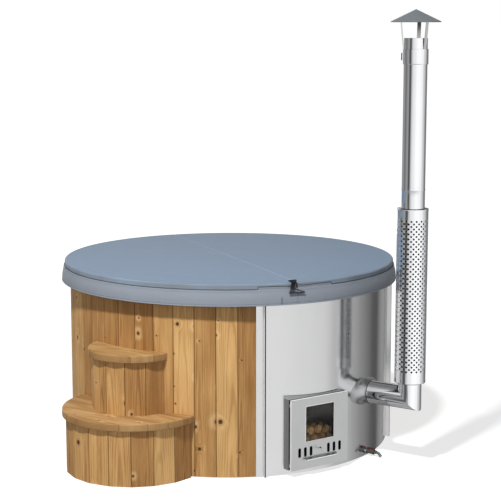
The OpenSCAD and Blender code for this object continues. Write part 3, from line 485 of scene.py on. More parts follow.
@dataclass(frozen=True)
class Vinyl:
    """Coated cloth with a fine leather grain, soft clouds, a paler side band and a paler strip along the fold, which is
    partly wear and partly a painted highlight.
    """

    name: str
    colour: Colour
    wear_and_sheen: Colour
    pores: Colour = tone(70, 80, 94)
    grain: float = 900.0
    rough: float = 0.5
    turn: float = FOLD_TURN
    fold: float = 0.012
    side: Colour = tone(130, 137, 144)
    side_from: float = 0.0

    def material(self) -> bpy.types.Material:
        """Draw the coated cloth."""
        s = Shader(self.name)
        x, y, z = s.split(s.turned((0.0, 0.0), self.turn))
        grain = s.node("ShaderNodeTexVoronoi", {"Vector": s.place, "Scale": self.grain}, "Distance",
                       feature="DISTANCE_TO_EDGE")
        pebble = s.between(grain, 0.0, 0.35)
        cloud = s.blotches((3.0, 5.0, 5.0), 4.0)
        crease = s.blotches((6.0, 46.0, 30.0), 3.0)
        colour = s.mix(s.between(cloud, 0.3, 0.7, 0.0, 0.16), self.colour, self.wear_and_sheen)
        colour = s.mix(s.between(crease, 0.55, 0.8, 0.0, 0.14), colour, self.wear_and_sheen)
        # Paler along the fold: partly wear, partly a painted highlight on the fold's rounded edge.
        near = s.between(s.sum("ABSOLUTE", x), self.fold * 0.35, self.fold, 1.0, 0.0)
        colour = s.mix(s.times(near, 0.55), colour, self.wear_and_sheen)
        if self.side_from:
            reach = s.length(x, y)
            band = s.sum("MAXIMUM", s.between(reach, self.side_from - 0.001, self.side_from + 0.001),
                         s.between(z, 1.0155, 1.0175, 1.0, 0.0))
            colour = s.mix(band, colour, s.mix(s.between(cloud, 0.3, 0.7), self.side, self.wear_and_sheen))
        colour = s.mix(s.between(pebble, 0.0, 1.0, 0.16, 0.0), colour, self.pores)
        s.relief(s.plus(s.times(pebble, 0.35), s.times(crease, 0.65)), 0.0012, 0.35)
        rough = s.plus(self.rough - 0.08, s.times(cloud, 0.16))
        return s.dress(Base_Color=colour, Roughness=rough, Specular_IOR_Level=0.4)


@dataclass(frozen=True)
class Moulded:
    """Plastic, laminate, paint, rubber or rope: a speckled colour with a fine texture."""

    name: str
    colour: Colour
    second: Colour
    rough: float = 0.45
    speck: float = 240.0
    relief: float = 0.0003
    specular: float = 0.45

    def material(self) -> bpy.types.Material:
        """Draw the moulded surface."""
        s = Shader(self.name)
        fine = s.blotches((self.speck,) * 3, 3.0, 0.6)
        broad = s.blotches((9.0, 9.0, 9.0), 3.0)
        share = s.plus(s.times(fine, 0.5), s.times(broad, 0.5))
        colour = s.mix(s.between(share, 0.35, 0.65), self.colour, self.second)
        s.relief(fine, self.relief, 0.6)
        rough = s.plus(self.rough - 0.06, s.times(broad, 0.12))
        return s.dress(Base_Color=colour, Roughness=rough, Specular_IOR_Level=self.specular)


@dataclass(frozen=True)
class Webbing:
    """Woven strap with ribs across and a twill on them."""

    name: str
    colour: Colour = tone(30, 31, 34)
    second: Colour = tone(62, 64, 70)
    turn: float = FOLD_TURN

    def material(self) -> bpy.types.Material:
        """Draw the weave."""
        s = Shader(self.name)
        x, y, z = s.split(s.turned((0.0, 0.0), self.turn))
        run = s.minus(y, z)
        weft = s.sum("SINE", s.times(run, 2.0 * math.pi / 0.0016))
        warp = s.sum("SINE", s.plus(s.times(x, 2.0 * math.pi / 0.0024), s.times(run, 900.0)))
        weave = s.between(s.times(weft, warp), -1.0, 1.0)
        fluff = s.blotches((600.0,) * 3)
        colour = s.mix(s.times(weave, fluff), self.colour, self.second)
        s.relief(weave, 0.0005, 0.7)
        return s.dress(Base_Color=colour, Roughness=0.82, Specular_IOR_Level=0.2)


@dataclass(frozen=True)
class Glass:
    """Smoked stove glass with a trace of soot."""

    name: str
    colour: Colour = tone(206, 201, 194)

    def material(self) -> bpy.types.Material:
        """Draw the glass."""
        s = Shader(self.name)
        soot = s.blotches((14.0, 14.0, 9.0), 4.0)
        colour = s.mix(s.between(soot, 0.4, 0.75, 0.0, 0.45), self.colour, tone(120, 108, 98))
        rough = s.between(soot, 0.3, 0.8, 0.01, 0.07)
        _x, _y, z = s.split(s.place)
        film = s.times(s.between(z, 0.27, 0.36), s.between(soot, 0.25, 0.7, 0.24, 0.12))
        return s.dress(Base_Color=colour, Roughness=rough, IOR=1.28, Alpha=0.4,
                       Transmission_Weight=s.minus(1.0, film))


@dataclass(frozen=True)
class SplitLogs:
    """Firewood: rings on the sawn ends, bark and split wood along the sides."""

    name: str
    turn: float = DOOR_TURN

    def material(self) -> bpy.types.Material:
        """Draw the logs from their own marks: the distance to the heart and a number for each log."""
        s = Shader(self.name)
        heart = s.node("ShaderNodeAttribute", {}, "Fac", attribute_name="heart")
        number = s.node("ShaderNodeAttribute", {}, "Fac", attribute_name="log")
        one, two, _three = s.chance(number)
        wobble = s.blotches((60.0,) * 3)
        coarse = s.blotches((24.0,) * 3)
        rings = s.sum("SINE", s.times(s.plus(heart, s.times(wobble, 0.006)), 1700.0))
        level = s.plus(s.times(rings, 0.13), s.sum("MULTIPLY_ADD", one, 0.6, 0.1))
        level = s.plus(level, s.times(s.minus(coarse, 0.5), 0.7))
        wood = s.ramp(level, [(0.0, tone(190, 128, 66)), (0.5, tone(244, 196, 124)), (1.0, tone(255, 232, 190))])
        bark = s.mix(wobble, tone(48, 30, 20), tone(110, 76, 50))
        ahead = facing(self.turn) @ Vector((0.0, -1.0, 0.0))
        normal = s.node("ShaderNodeNewGeometry", {}, "Normal")
        end = s.node("ShaderNodeVectorMath", {0: normal, 1: tuple(ahead)}, "Value", operation="DOT_PRODUCT")
        end = s.between(s.sum("ABSOLUTE", end), 0.6, 0.8)
        split = s.sum("GREATER_THAN", two, 0.5)
        side = s.mix(split, bark, s.mix(0.45, wood, tone(120, 82, 50)))
        rim = s.times(s.between(heart, 0.021, 0.0235), end)
        colour = s.mix(rim, s.mix(end, side, wood), bark)
        s.relief(wobble, 0.002, 0.6)
        return s.dress(Base_Color=colour, Roughness=0.85, Specular_IOR_Level=0.2)


# ---------------------------------------------------------------- pieces of the frame that keep their shape


@dataclass
class Dresser:
    """Gives each rigid piece of the frame its finish, and smooths the round ones."""

    finishes: dict[str, bpy.types.Material]
    bodies: dict[str, str] = field(init=False)

    def __post_init__(self) -> None:
        """Look up which body each node rides on."""
        groups = frame["record"]["behaviour"]["bodies"]
        self.bodies = {node: body for body, nodes in groups.items() for node in nodes}

    def paint(self, piece: bpy.types.Object, finish: str) -> None:
        """Put one finish on all of a piece."""
        piece.data.materials.clear()
        piece.data.materials.append(self.finishes[finish])
        for polygon in piece.data.polygons:
            polygon.material_index = 0

    def place(self, name: str, mesh: bpy.types.Mesh, finish: str, body: str, node: str = "",
              slot: str = "") -> bpy.types.Object:
        """Put a finished mesh into the scene, on its body.

        Args:
            name: the new piece's name.
            mesh: its mesh, in place.
            finish: the name of its finish.
            body: the body that it rides on.
            node: the frame's node that it stands for, if any.
            slot: the name of its slot, if any; not used.

        Returns:
            The new piece.
        """
        piece = new_piece(name, mesh)
        self.paint(piece, finish)
        if node:
            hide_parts(node)
        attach(piece, body)
        return piece

    def flat(self, finish: str, *nodes: str) -> None:
        """Dress nodes whose flat faces are right as they are.

        Args:
            finish: the name of their finish.
            *nodes: the names of the frame's nodes.
        """
        for name in nodes:
            self.paint(frame["nodes"][name], finish)
            log.info("dressed %s", name)

    def rounded(self, finish: str, *nodes: str, angle: float = 24.0, cuts: Sequence[float] = ()) -> None:
        """Stand a smooth copy in for each node.

        Args:
            finish: the name of their finish.
            *nodes: the names of the frame's nodes.
            angle: the turn in degrees above which an edge stays sharp.
            cuts: heights at which the faces are divided, so that each part can have a finish.
        """
        for name in nodes:
            mesh = frame["nodes"][name].data.copy()
            mesh.name = f"{name}_smooth"
            for layer in [a for a in mesh.attributes if a.name in ("custom_normal", "sharp_face", "sharp_edge")]:
                mesh.attributes.remove(layer)
            work = bmesh.new()
            work.from_mesh(mesh)
            bmesh.ops.remove_doubles(work, verts=work.verts, dist=2e-6)
            for height in cuts:
                bmesh.ops.bisect_plane(work, geom=work.verts[:] + work.edges[:] + work.faces[:], dist=1e-6,
                                       plane_co=(0.0, 0.0, height), plane_no=(0.0, 0.0, 1.0))
            work.to_mesh(mesh)
            work.free()
            soften(mesh, angle)
            self.place(f"{name}_finished", mesh, finish, self.bodies[name], name)
            log.info("smoothed and dressed %s", name)

    def accent(self, node: str, finish: str, degrees: float,
               picks: Callable[[Vector, Vector], bool]) -> None:
        """Give some faces of a smoothed piece a finish of their own.

        Args:
            node: the frame's node that the piece stands for.
            finish: the name of the second finish.
            degrees: direction that the piece's own front looks in.
            picks: tells from a face's middle and normal, seen in that direction, whether it is one.
        """
        mesh = bpy.data.objects[f"{node}_finished"].data
        mesh.materials.append(self.finishes[finish])
        back = facing(-degrees)
        for polygon in mesh.polygons:
            if picks(back @ polygon.center, back @ polygon.normal):
                polygon.material_index = len(mesh.materials) - 1

    def slim(self, node: str, degrees: float, height: float, radius: float) -> None:
        """Take in a level round tube's flared end, where another piece makes its flare.

        Args:
            node: the frame's node that the piece stands for.
            degrees: direction that the tube points in.
            height: height of the tube's axis.
            radius: the largest radius that is kept.
        """
        for vertex in bpy.data.objects[f"{node}_finished"].data.vertices:
            at = facing(-degrees) @ vertex.co
            reach = math.hypot(at.x, at.z - height)
            if reach > radius:
                share = radius / reach
                vertex.co = facing(degrees) @ Vector((at.x * share, at.y, height + (at.z - height) * share))


# ---------------------------------------------------------------- the padded cover


@dataclass
class PaddedCover:
    """The two padded halves, their skirts, edge flaps and strap."""

    turn: float = FOLD_TURN
    radius: float = 0.930
    draw_in: float = 0.004
    bottom: float = 0.9853
    top: float = 1.0293
    edge: float = 0.011
    fold_edge: float = 0.006
    gap: float = 0.001
    crown: float = 0.0032
    arc_points: int = 240
    chord_points: int = 96
    corner_points: int = 5
    skirt_in: float = 0.9297
    skirt_top: float = 0.9958
    skirt_thickness: float = 0.0055
    flare: float = 0.0125
    hem: float = 0.913
    seam_bead: float = 0.0016
    cloth: float = 0.0036
    slit: float = 5.1
    flap_in: float = 0.9302
    flap_span: float = 12.45

    def outline(self, side: int, inset: float) -> list[tuple[float, float]]:
        """Trace one half's edge, drawn in by an inset.

        Args:
            side: -1 for the left half, 1 for the right half.
            inset: how far the trace lies inside the edge, in metres.

        Returns:
            Points in the fold's frame, the same number for each inset.
        """
        reach = self.radius - inset
        near = self.gap / 2 + inset
        corner = min(0.0035 + 0.12 * inset, 0.3 * (reach - near))
        height = math.sqrt((reach - corner) ** 2 - (near + corner) ** 2)
        tip = math.atan2(height, near + corner)
        chord, arc = self.chord_points - 1, self.arc_points - 1
        bend = [math.pi + (tip - math.pi) * i / self.corner_points for i in range(1, self.corner_points)]
        sweep = [tip * (1 - 2 * i / arc) for i in range(arc + 1)]
        points = [(near, height * (2 * i / chord - 1)) for i in range(chord + 1)]
        points += [(near + corner + corner * math.cos(a), height + corner * math.sin(a)) for a in bend]
        points += [(reach * math.cos(a), reach * math.sin(a)) for a in sweep]
        points += [(near + corner + corner * math.cos(-a), -height + corner * math.sin(-a)) for a in reversed(bend)]
        return [(side * x, y) for x, y in points]

    def fall(self, x: float, y: float) -> float:
        """Tell how far the upper face lies below the top, near the rim or the fold."""
        to_rim = self.radius - math.hypot(x, y)
        to_fold = abs(x) - self.gap / 2
        drop = 0.0
        for distance, rounding in ((to_rim, self.edge), (to_fold, self.fold_edge)):
            d = min(max(distance, 0.0), rounding)
            drop = max(drop, rounding - math.sqrt(max(rounding ** 2 - (rounding - d) ** 2, 0.0)))
        return drop

    def pad(self, side: int) -> bpy.types.Mesh:
        """Build one padded half as a closed, crowned form."""
        loops: list[list[Point]] = []
        for inset in (0.40, 0.25, 0.1, 0.02, 0.006):
            loops.append([(x, y, self.bottom) for x, y in self.outline(side, inset + self.draw_in)])
        for share, inset in ((0.0012, 0.0), (0.004, -0.001), (0.012, -0.0014), (0.019, -0.0016), (0.0235, -0.0004)):
            loops.append([(x, y, self.bottom + share)
                          for x, y in self.outline(side, self.draw_in * max(0.0, 1 - share / 0.013) + inset + 0.002)])
        insets = [0.0, 0.0008, 0.0022, 0.004, 0.006, 0.0085, 0.0115, 0.0145, 0.018, 0.024, 0.032, 0.042, 0.054]
        insets += [0.068 + 0.0195 * i for i in range(18)]
        for inset in insets:
            ring = []
            for x, y in self.outline(side, inset):
                depth = min(self.radius - math.hypot(x, y), abs(x))
                rise = self.crown * math.sin(min(depth / 0.25, 1.0) * math.pi / 2) ** 2
                wave = 0.0007 * ripple(x * 2.4, y * 2.4 + 3.0, 2.0 + side)
                wave += 0.0006 * ripple((x * 0.93 + y * 0.37) * 3.0, (y * 0.93 - x * 0.37) * 19.0, 7.0 + side)
                wave += 0.0002 * ripple(x * 22.0, y * 22.0, 11.0)
                wave *= min(depth / 0.04, 1.0)
                pinch = 0.0012 * math.exp(-((depth - 0.03) / 0.012) ** 2)
                ring.append((x, y, self.top - 0.002 - self.fall(x, y) + rise + wave - pinch))
            loops.append(ring)
        turn = facing(self.turn)
        middles = [[sum(p[k] for p in loop) / len(loop) for k in range(3)] for loop in (loops[0], loops[-1])]
        rows = [[turn @ Vector((x, -y, z)) for x, y, z in loop] for loop in loops + [middles]]
        return Skin().add(rows[:-1], middles=rows[-1]).mesh(f"pad_{side}", 50.0)

    def on_rim(self, side: int, radius: float, degrees: float, height: float) -> Vector:
        """Give a place near the cover's rim.

        Args:
            side: -1 for the left half, 1 for the right half.
            radius: distance from the tub's axis.
            degrees: angle from the fold's front end.
            height: height above the floor.

        Returns:
            The place, in metres.
        """
        a = math.radians(degrees)
        return facing(self.turn) @ Vector((side * radius * math.sin(a), -radius * math.cos(a), height))

    def skirt(self, side: int) -> bpy.types.Mesh:
        """Build one half's hanging skirt as a thin, hemmed, gently waved sheet."""
        start, end, steps = 0.06, 179.94, 420
        outside = self.skirt_in + self.skirt_thickness
        profile = [(outside - 0.0030, self.skirt_top), (outside - 0.0008, self.skirt_top - 0.0008),
                   (outside, self.skirt_top - 0.0026), (outside + 0.0008, self.skirt_top - 0.010),
                   *((outside + self.flare * share, z) for share, z in (
                       (0.28, 0.978), (0.52, 0.966), (0.74, 0.953), (0.86, 0.940), (0.93, 0.9275), (0.955, 0.9215),
                       (0.90, 0.9200), (1.0, 0.9180), (1.0, 0.9145))), (outside + self.flare - 0.0012, self.hem)]
        ring = profile + [(r - self.cloth, max(z, self.hem + 0.0004)) for r, z in reversed(profile)]
        slit_row = round((self.slit - start) / (end - start) * steps)
        points = []
        for i in range(steps + 1):
            a = start + (end - start) * i / steps
            if side < 0 and i == slit_row + 1:
                a -= 0.2
            for r, z in ring:
                low = max(0.0, (0.985 - z) / (0.985 - self.hem))
                sway = 0.0011 * ripple(a * 0.16, z * 6.0, 3.0 + side) + 0.0005 * ripple(a * 0.7, z * 16.0, 5.0)
                points.append(self.on_rim(side, r + sway * low - 0.0008, a, z))
        count = len(ring)
        below = [z < 0.9601 for _r, z in ring]
        faces = []
        for i in range(steps):
            for j in range(count):
                k = (j + 1) % count
                if not (side < 0 and i == slit_row and below[j] and below[k]):
                    faces.append((i * count + j, (i + 1) * count + j, (i + 1) * count + k, i * count + k))
        faces += [tuple(range(count)), tuple(range(steps * count, (steps + 1) * count))]
        mesh = mesh_of(f"skirt_{side}", points, faces)
        soften(mesh, 35.0)
        return mesh

    def flap_top(self, degrees: float) -> float:
        """Tell how high an edge flap's upper edge runs, pinched up at the fold and slack beside it."""
        return 1.0103 - 0.0030 * math.exp(-((degrees - 3.0) / 2.0) ** 2) + 0.0050 * math.exp(-(degrees / 0.9) ** 2)

    def shade_cord_on_flap(self, side: int) -> bpy.types.Mesh:
        """Run a dark cord along an edge flap's upper edge and down its far end: painted shade for the gap under the
        flap's edge.
        """
        path = [(0.5 + 12.2 * i / 60, self.flap_top(0.5 + 12.2 * i / 60)) for i in range(61)]
        path += [(12.82, 1.0085), (12.86, 1.0045), (12.86, self.skirt_top + 0.001)]
        return cordage(f"flap_binding_{side}", [self.on_rim(side, 0.9315, *at) for at in path], self.seam_bead)

    def shade_cord_on_seam(self, side: int) -> bpy.types.Mesh:
        """Run a dark cord along the seam between one half's side band and its skirt: painted shade for the gap between
        them.
        """
        path = [self.on_rim(side, 0.9321, 13.0 + 166.6 * i / 360, self.skirt_top + 0.0012) for i in range(361)]
        return cordage(f"seam_piping_{side}", path, self.seam_bead)

    def slit_shade_cord(self) -> bpy.types.Mesh:
        """Run a dark cord just inside the vent slit low in the left skirt: painted shade inside the slit."""
        inside = self.skirt_in + self.skirt_thickness - 0.0026
        path = [self.on_rim(-1, inside + self.flare * share, self.slit + 0.15, height) for share, height in (
            (0.60, 0.9612), (0.74, 0.953), (0.86, 0.940), (0.93, 0.9275), (0.90, 0.920), (1.0, 0.9145))]
        return cordage("slit_shade_cord", path, 0.0019)

    def strap(self) -> bpy.types.Mesh:
        """Build the pull strap: doubled webbing that stands up over the edge and runs down to its loop."""
        route = [(-0.0200, 0.892, 1.0301, 0.024, 0.0022), (-0.0200, 0.898, 1.0303, 0.028, 0.0026),
                 (-0.0200, 0.906, 1.0306, 0.031, 0.0030), (-0.0200, 0.914, 1.0309, 0.033, 0.0032),
                 (-0.0200, 0.921, 1.0316, 0.034, 0.0034), (-0.0202, 0.9275, 1.0334, 0.034, 0.0040),
                 (-0.0205, 0.9328, 1.0368, 0.033, 0.0046), (-0.0208, 0.9372, 1.0388, 0.031, 0.0046),
                 (-0.0212, 0.9410, 1.0372, 0.029, 0.0044), (-0.0218, 0.9428, 1.0325, 0.027, 0.0042),
                 (-0.0226, 0.9424, 1.0265, 0.025, 0.0038), (-0.0236, 0.9408, 1.0205, 0.0235, 0.0034),
                 (-0.0252, 0.9392, 1.0145, 0.0225, 0.0032), (-0.0270, 0.9384, 1.0085, 0.0225, 0.0030),
                 (-0.0285, 0.9392, 1.0035, 0.0228, 0.0028), (-0.0295, 0.9415, 0.9985, 0.0232, 0.0025),
                 (-0.0300, 0.9430, 0.9935, 0.0235, 0.0023), (-0.0300, 0.9431, 0.9885, 0.0235, 0.0022)]
        turn = facing(self.turn)
        section = ((-1, -0.55), (-0.96, -1), (-0.5, -1), (0, -1), (0.5, -1), (0.96, -1), (1, -0.55), (1, 0.55),
                   (0.96, 1), (0.5, 1), (0, 1), (-0.5, 1), (-0.96, 1), (-1, 0.55))
        rows = []
        for i, (x, out, z, width, thick) in enumerate(route):
            before, after = route[max(i - 1, 0)], route[min(i + 1, len(route) - 1)]
            ahead = Vector((0.0, -(after[1] - before[1]), after[2] - before[2])).normalized()
            normal = Vector((1.0, 0.0, 0.0)).cross(ahead)
            rows.append([turn @ (Vector((x + u * width / 2, -out, z)) + normal * (v * thick / 2)) for u, v in section])
        return Skin().add(rows).mesh("pull_strap", 50.0)

    def flap(self, side: int) -> bpy.types.Mesh:
        """Build one edge flap: a thin pinched strip over the fold's end."""
        rows = []
        for i in range(65):
            share = i / 64
            turned = 0.35 + self.flap_span * share
            low, high = self.skirt_top - 0.0012, self.flap_top(turned)
            middle, half = (low + high) / 2, (high - low) / 2
            row = [self.on_rim(side, self.flap_in, turned, middle - half)]
            for k in range(9):
                rise = -0.94 + 0.235 * k
                puff = 0.0011 + 0.0007 * math.sqrt(max(1.0 - rise ** 2, 0.0))
                puff += 0.0011 * math.exp(-turned / 3.2) * math.sin(5.2 * rise + 0.9 * turned)
                radius = self.flap_in + max(puff, 0.0004) + 0.0002 * ripple(share * 9.0, 0.0, side)
                row.append(self.on_rim(side, radius, turned, middle + half * rise))
            row.append(self.on_rim(side, self.flap_in, turned, middle + half))
            rows.append(row)
        return Skin().add(rows).mesh(f"flap_{side}", 40.0)

    def build(self, dresser: Dresser) -> None:
        for side, word in ((-1, "left"), (1, "right")):
            body = f"cover_{word}"
            pad = dresser.place(f"cover_padding_{word}", self.pad(side), "cover_vinyl", body,
                                f"cover_pad_{word}", "cover_vinyl")
            skirt = dresser.place(f"cover_hanging_skirt_{word}", self.skirt(side), "cover_skirt", body,
                                  f"cover_skirt_{word}", "cover_skirt")
            flap = dresser.place(f"cover_edge_flap_{word}", self.flap(side), "cover_skirt", body,
                                 f"cover_flap_{word}", "cover_skirt")
            # Dark cords along the flap edge and the skirt seam paint the shade of the gaps there.
            for made, mesh in (("flap_binding", self.shade_cord_on_flap(side)), ("seam_piping", self.shade_cord_on_seam(side))):
                dresser.place(f"cover_{made}_{word}", mesh, "cover_shade_cord", body)
            log.info("made the %s half of the cover", word)
        dresser.place("cover_slit_edge", self.slit_shade_cord(), "cover_shade_cord", "cover_left")
        dresser.place("cover_pull_strap", self.strap(), "strap_webbing", "cover_left", "cover_strap")
        log.info("made the pull strap")


# ---------------------------------------------------------------- small rigid pieces


@dataclass
class Fittings:
    """Dark strips that paint the shadow line at the panel's joints, the flue's flared collar, the window's bead as a
    painted highlight, and the logs in the stove.
    """

    foot_from: float = 0.0214
    foot_to: float = 0.0272
    foot_face: float = 0.9238
    joint_thick: float = 0.0016
    joint_top: float = 0.9494
    flue_turn: float = FLUE_TURN
    outlet: float = 0.366
    pipe: float = 0.0640
    ring_at: float = 0.9372
    flare: float = 0.080
    rise: float = 0.007
    drum: float = 0.9006
    door_turn: float = DOOR_TURN
    window: tuple[float, float, float, float] = (-0.145, 0.037, 0.1815, 0.3675)
    face: float = 0.935
    slot_middle: float = 0.127
    logs: tuple[tuple[float, float, float, float, float], ...] = (
        (-0.150, 0.163, 0.0250, 400.0, 0.0), (-0.095, 0.164, 0.0262, 70.0, 0.35), (-0.040, 0.164, 0.0265, 90.0, 0.30),
        (0.013, 0.163, 0.0255, 400.0, 0.0), (0.058, 0.158, 0.0205, 200.0, 0.6), (-0.0665, 0.2105, 0.0270, 235.0, 0.45),
        (-0.0125, 0.2125, 0.0290, 400.0, 0.0), (0.0400, 0.2060, 0.0270, 150.0, 0.4))

    def joints(self) -> bpy.types.Mesh:
        """Shape the two dark strips along the panel's upright joints: painted shade for the shadow line between each
        trim and the panel.
        """
        front, thick, ease = -self.foot_face, self.joint_thick, 0.0008
        outline = [(self.foot_from, front), (self.foot_from, front - thick * 0.6),
                   (self.foot_from + ease, front - thick), (self.foot_to - ease, front - thick),
                   (self.foot_to, front - thick * 0.6), (self.foot_to, front)]
        skin = Skin()
        for degrees, way in ((PANEL_START, 1.0), (PANEL_END, -1.0)):
            turn = facing(degrees)
            skin.add([[turn @ Vector((way * x, y, z)) for x, y in outline] for z in (0.0045, self.joint_top)])
        return skin.mesh("panel_joint_shade_mesh")

    def collar(self) -> bpy.types.Mesh:
        """Flare the flue's collar from the pipe's ring smoothly into the panel."""
        turn = facing(self.flue_turn)
        sides = []
        for inner in (0.0, 0.0016):
            rows = []
            for i in range(19):
                a = math.radians(5.0 * i)
                grow = (1.0 - math.cos(a)) ** 0.92
                reach = self.pipe + 0.0008 - inner * math.cos(a)
                row = []
                for b in turns(96):
                    across, up = (reach + self.flare * grow) * math.cos(b), (reach + self.rise * grow) * math.sin(b)
                    wall = math.sqrt(self.drum ** 2 - across ** 2)
                    out = self.ring_at - (self.ring_at - wall) * math.sin(a) - inner * math.sin(a) ** 2
                    row.append(turn @ Vector((across, -out, self.outlet + up)))
                rows.append(row)
            sides.append(rows)
        return Skin().add(sides[0] + sides[1][::-1], ring=True).mesh("flue_collar", 40.0)

    def ring(self) -> bpy.types.Mesh:
        """Draw the dark joint between the collar and the elbow as a thin band."""
        turn = facing(self.flue_turn)
        rows = []
        for grown, out in ((0.0004, 0.0002), (0.0014, 0.0002), (0.0014, 0.0032), (0.0004, 0.0032)):
            r = self.pipe + grown
            rows.append([turn @ Vector((r * math.cos(a), -self.ring_at - out, self.outlet + r * math.sin(a)))
                         for a in turns(96)])
        return Skin().add(rows, ring=True).mesh("collar_ring", 40.0)

    def bead(self) -> bpy.types.Mesh:
        """Frame the window with a narrow near-white bead, a painted highlight on the window's bevel."""
        left, right, low, high = self.window
        turn = facing(self.door_turn)
        rows = []
        for grown, out in ((0.0, 0.0002), (0.0, 0.0008), (0.0012, 0.0014), (0.0026, 0.0010), (0.0034, 0.0002)):
            corners = ((left - grown, low - grown), (right + grown, low - grown), (right + grown, high + grown),
                       (left - grown, high + grown))
            rows.append([turn @ Vector((x, -self.face - out, z)) for x, z in corners])
        return Skin().add(rows, ring=True).mesh("window_highlight_bead")

    def slot_shade_rims(self) -> bpy.types.Mesh:
        """Put a thin black rim round each of the six air slots: painted shade that widens the slots' dark look."""
        turn = facing(self.door_turn)
        skin = Skin()
        for middle in (-0.185, -0.148, -0.111, 0.003, 0.040, 0.077):
            rows = []
            for width, height, out in ((0.0130, 0.0470, 0.0001), (0.0130, 0.0470, 0.0005), (0.0172, 0.0512, 0.0005),
                                       (0.0176, 0.0516, 0.0001)):
                r, rise = width / 2, (height - width) / 2
                row = []
                for a in turns(28, 0.5):
                    up = r * math.sin(a) + math.copysign(rise, math.sin(a))
                    row.append(turn @ Vector((middle + r * math.cos(a), -self.face - out, self.slot_middle + up)))
                rows.append(row)
            skin.add(rows, ring=True)
        return skin.mesh("air_slot_shade_rims")

    def firewood(self) -> bpy.types.Mesh:
        """Stack split logs on the grate, each with its heart and number marked."""
        skin, heart, number = Skin(), [], []
        turn, back = facing(self.door_turn), 0.629
        for n, (x, z, size, split, depth) in enumerate(self.logs):
            front = 0.866 - 0.004 * math.sin(2.1 * n)
            rows = []
            for out in (front, front - 0.001, 0.80, 0.72, 0.630, back):
                fade = 0.965 if out in (front, back) else 1.0
                row = []
                for a in turns(30):
                    r = size * fade * (1.0 + 0.05 * ripple(math.cos(a) * 1.6 + n, math.sin(a) * 1.6, out * 2.0)
                                       + 0.012 * ripple(math.cos(a) * 7.0, math.sin(a) * 7.0 + n, out * 4.0))
                    towards = math.cos(a - math.radians(split))
                    if split < 360.0 and towards > 0.0:
                        r = min(r, size * (1.0 - depth) / max(towards, 1e-6))
                    row.append(turn @ Vector((x + r * math.cos(a), -out, z + r * math.sin(a))))
                    heart.append(r)
                rows.append(row)
            skin.add(rows, middles=[turn @ Vector((x, -out, z)) for out in (front, back)])
            heart += [0.0, 0.0]
            number += [float(n + 1)] * (len(skin.points) - len(number))
        mesh = skin.mesh("split_firewood", 35.0)
        for name, values in (("heart", heart), ("log", number)):
            mesh.attributes.new(name, "FLOAT", "POINT").data.foreach_set("value", values)
        return mesh

    def build(self, dresser: Dresser) -> None:
        """Make the small rigid pieces and put them on their bodies."""
        for name, mesh, finish, body, node in (
                ("panel_joint_strips", self.joints(), "joint_rubber", "tub", ""),
                ("flue_collar_flare", self.collar(), "collar_steel", "tub", ""),
                ("flue_collar_ring", self.ring(), "joint_rubber", "tub", ""),
                ("door_window_bead", self.bead(), "painted_highlight_steel", "stove_door", ""),
                ("door_slot_rims", self.slot_shade_rims(), "matt_black_paint", "stove_door", ""),
                ("split_firewood", self.firewood(), "split_logs", "tub", "firewood")):
            dresser.place(name, mesh, finish, body, node)
            log.info("made %s", name)


# ---------------------------------------------------------------- repeated shapes


class NodeTree(Network):
    """A Geometry Nodes tree while it is being built, with named inputs."""

    def __init__(self, name: str) -> None:
        """Start a tree with a geometry input and output."""
        super().__init__(bpy.data.node_groups.new(name, "GeometryNodeTree"))
        self.tree.interface.new_socket("Geometry", in_out="INPUT", socket_type="NodeSocketGeometry")
        self.tree.interface.new_socket("Geometry", in_out="OUTPUT", socket_type="NodeSocketGeometry")
        self.start = self.tree.nodes.new("NodeGroupInput")
        self.end = self.tree.nodes.new("NodeGroupOutput")
        self.values: dict[str, Any] = {}

    def size(self, name: str, value: Any, kind: str = "NodeSocketFloat") -> Socket:
        """Add a named input with the value that this piece takes.

        Args:
            name: the input's name.
            value: what the modifier is given.
            kind: the socket type.

        Returns:
            The input's socket inside the tree.
        """
        made = self.tree.interface.new_socket(name, in_out="INPUT", socket_type=kind)
        self.values[made.identifier] = value
        return self.start.outputs[name]

    def finish(self, geometry: Socket, material: Socket) -> None:
        """Realize the copies, set the material and end the tree."""
        whole = self.node("GeometryNodeRealizeInstances", {0: geometry})
        done = self.node("GeometryNodeSetMaterial", {"Geometry": whole, "Material": material}, "Geometry")
        self.tree.links.new(done, self.end.inputs[0])

    def bake(self, piece_name: str) -> bpy.types.Object:
        """Run the tree once and keep its result as a plain mesh.

        Args:
            piece_name: name of the new piece.

        Returns:
            The piece, without modifiers, at the origin.
        """
        carrier = new_piece(f"{piece_name}_carrier", bpy.data.meshes.new("carrier"))
        modifier = carrier.modifiers.new("repeat", "NODES")
        modifier.node_group = self.tree
        for identifier, value in self.values.items():
            modifier[identifier] = value
        bpy.context.view_layer.update()
        evaluated = carrier.evaluated_get(bpy.context.evaluated_depsgraph_get())
        mesh = bpy.data.meshes.new_from_object(evaluated)
        bpy.data.objects.remove(carrier)
        return new_piece(piece_name, mesh)


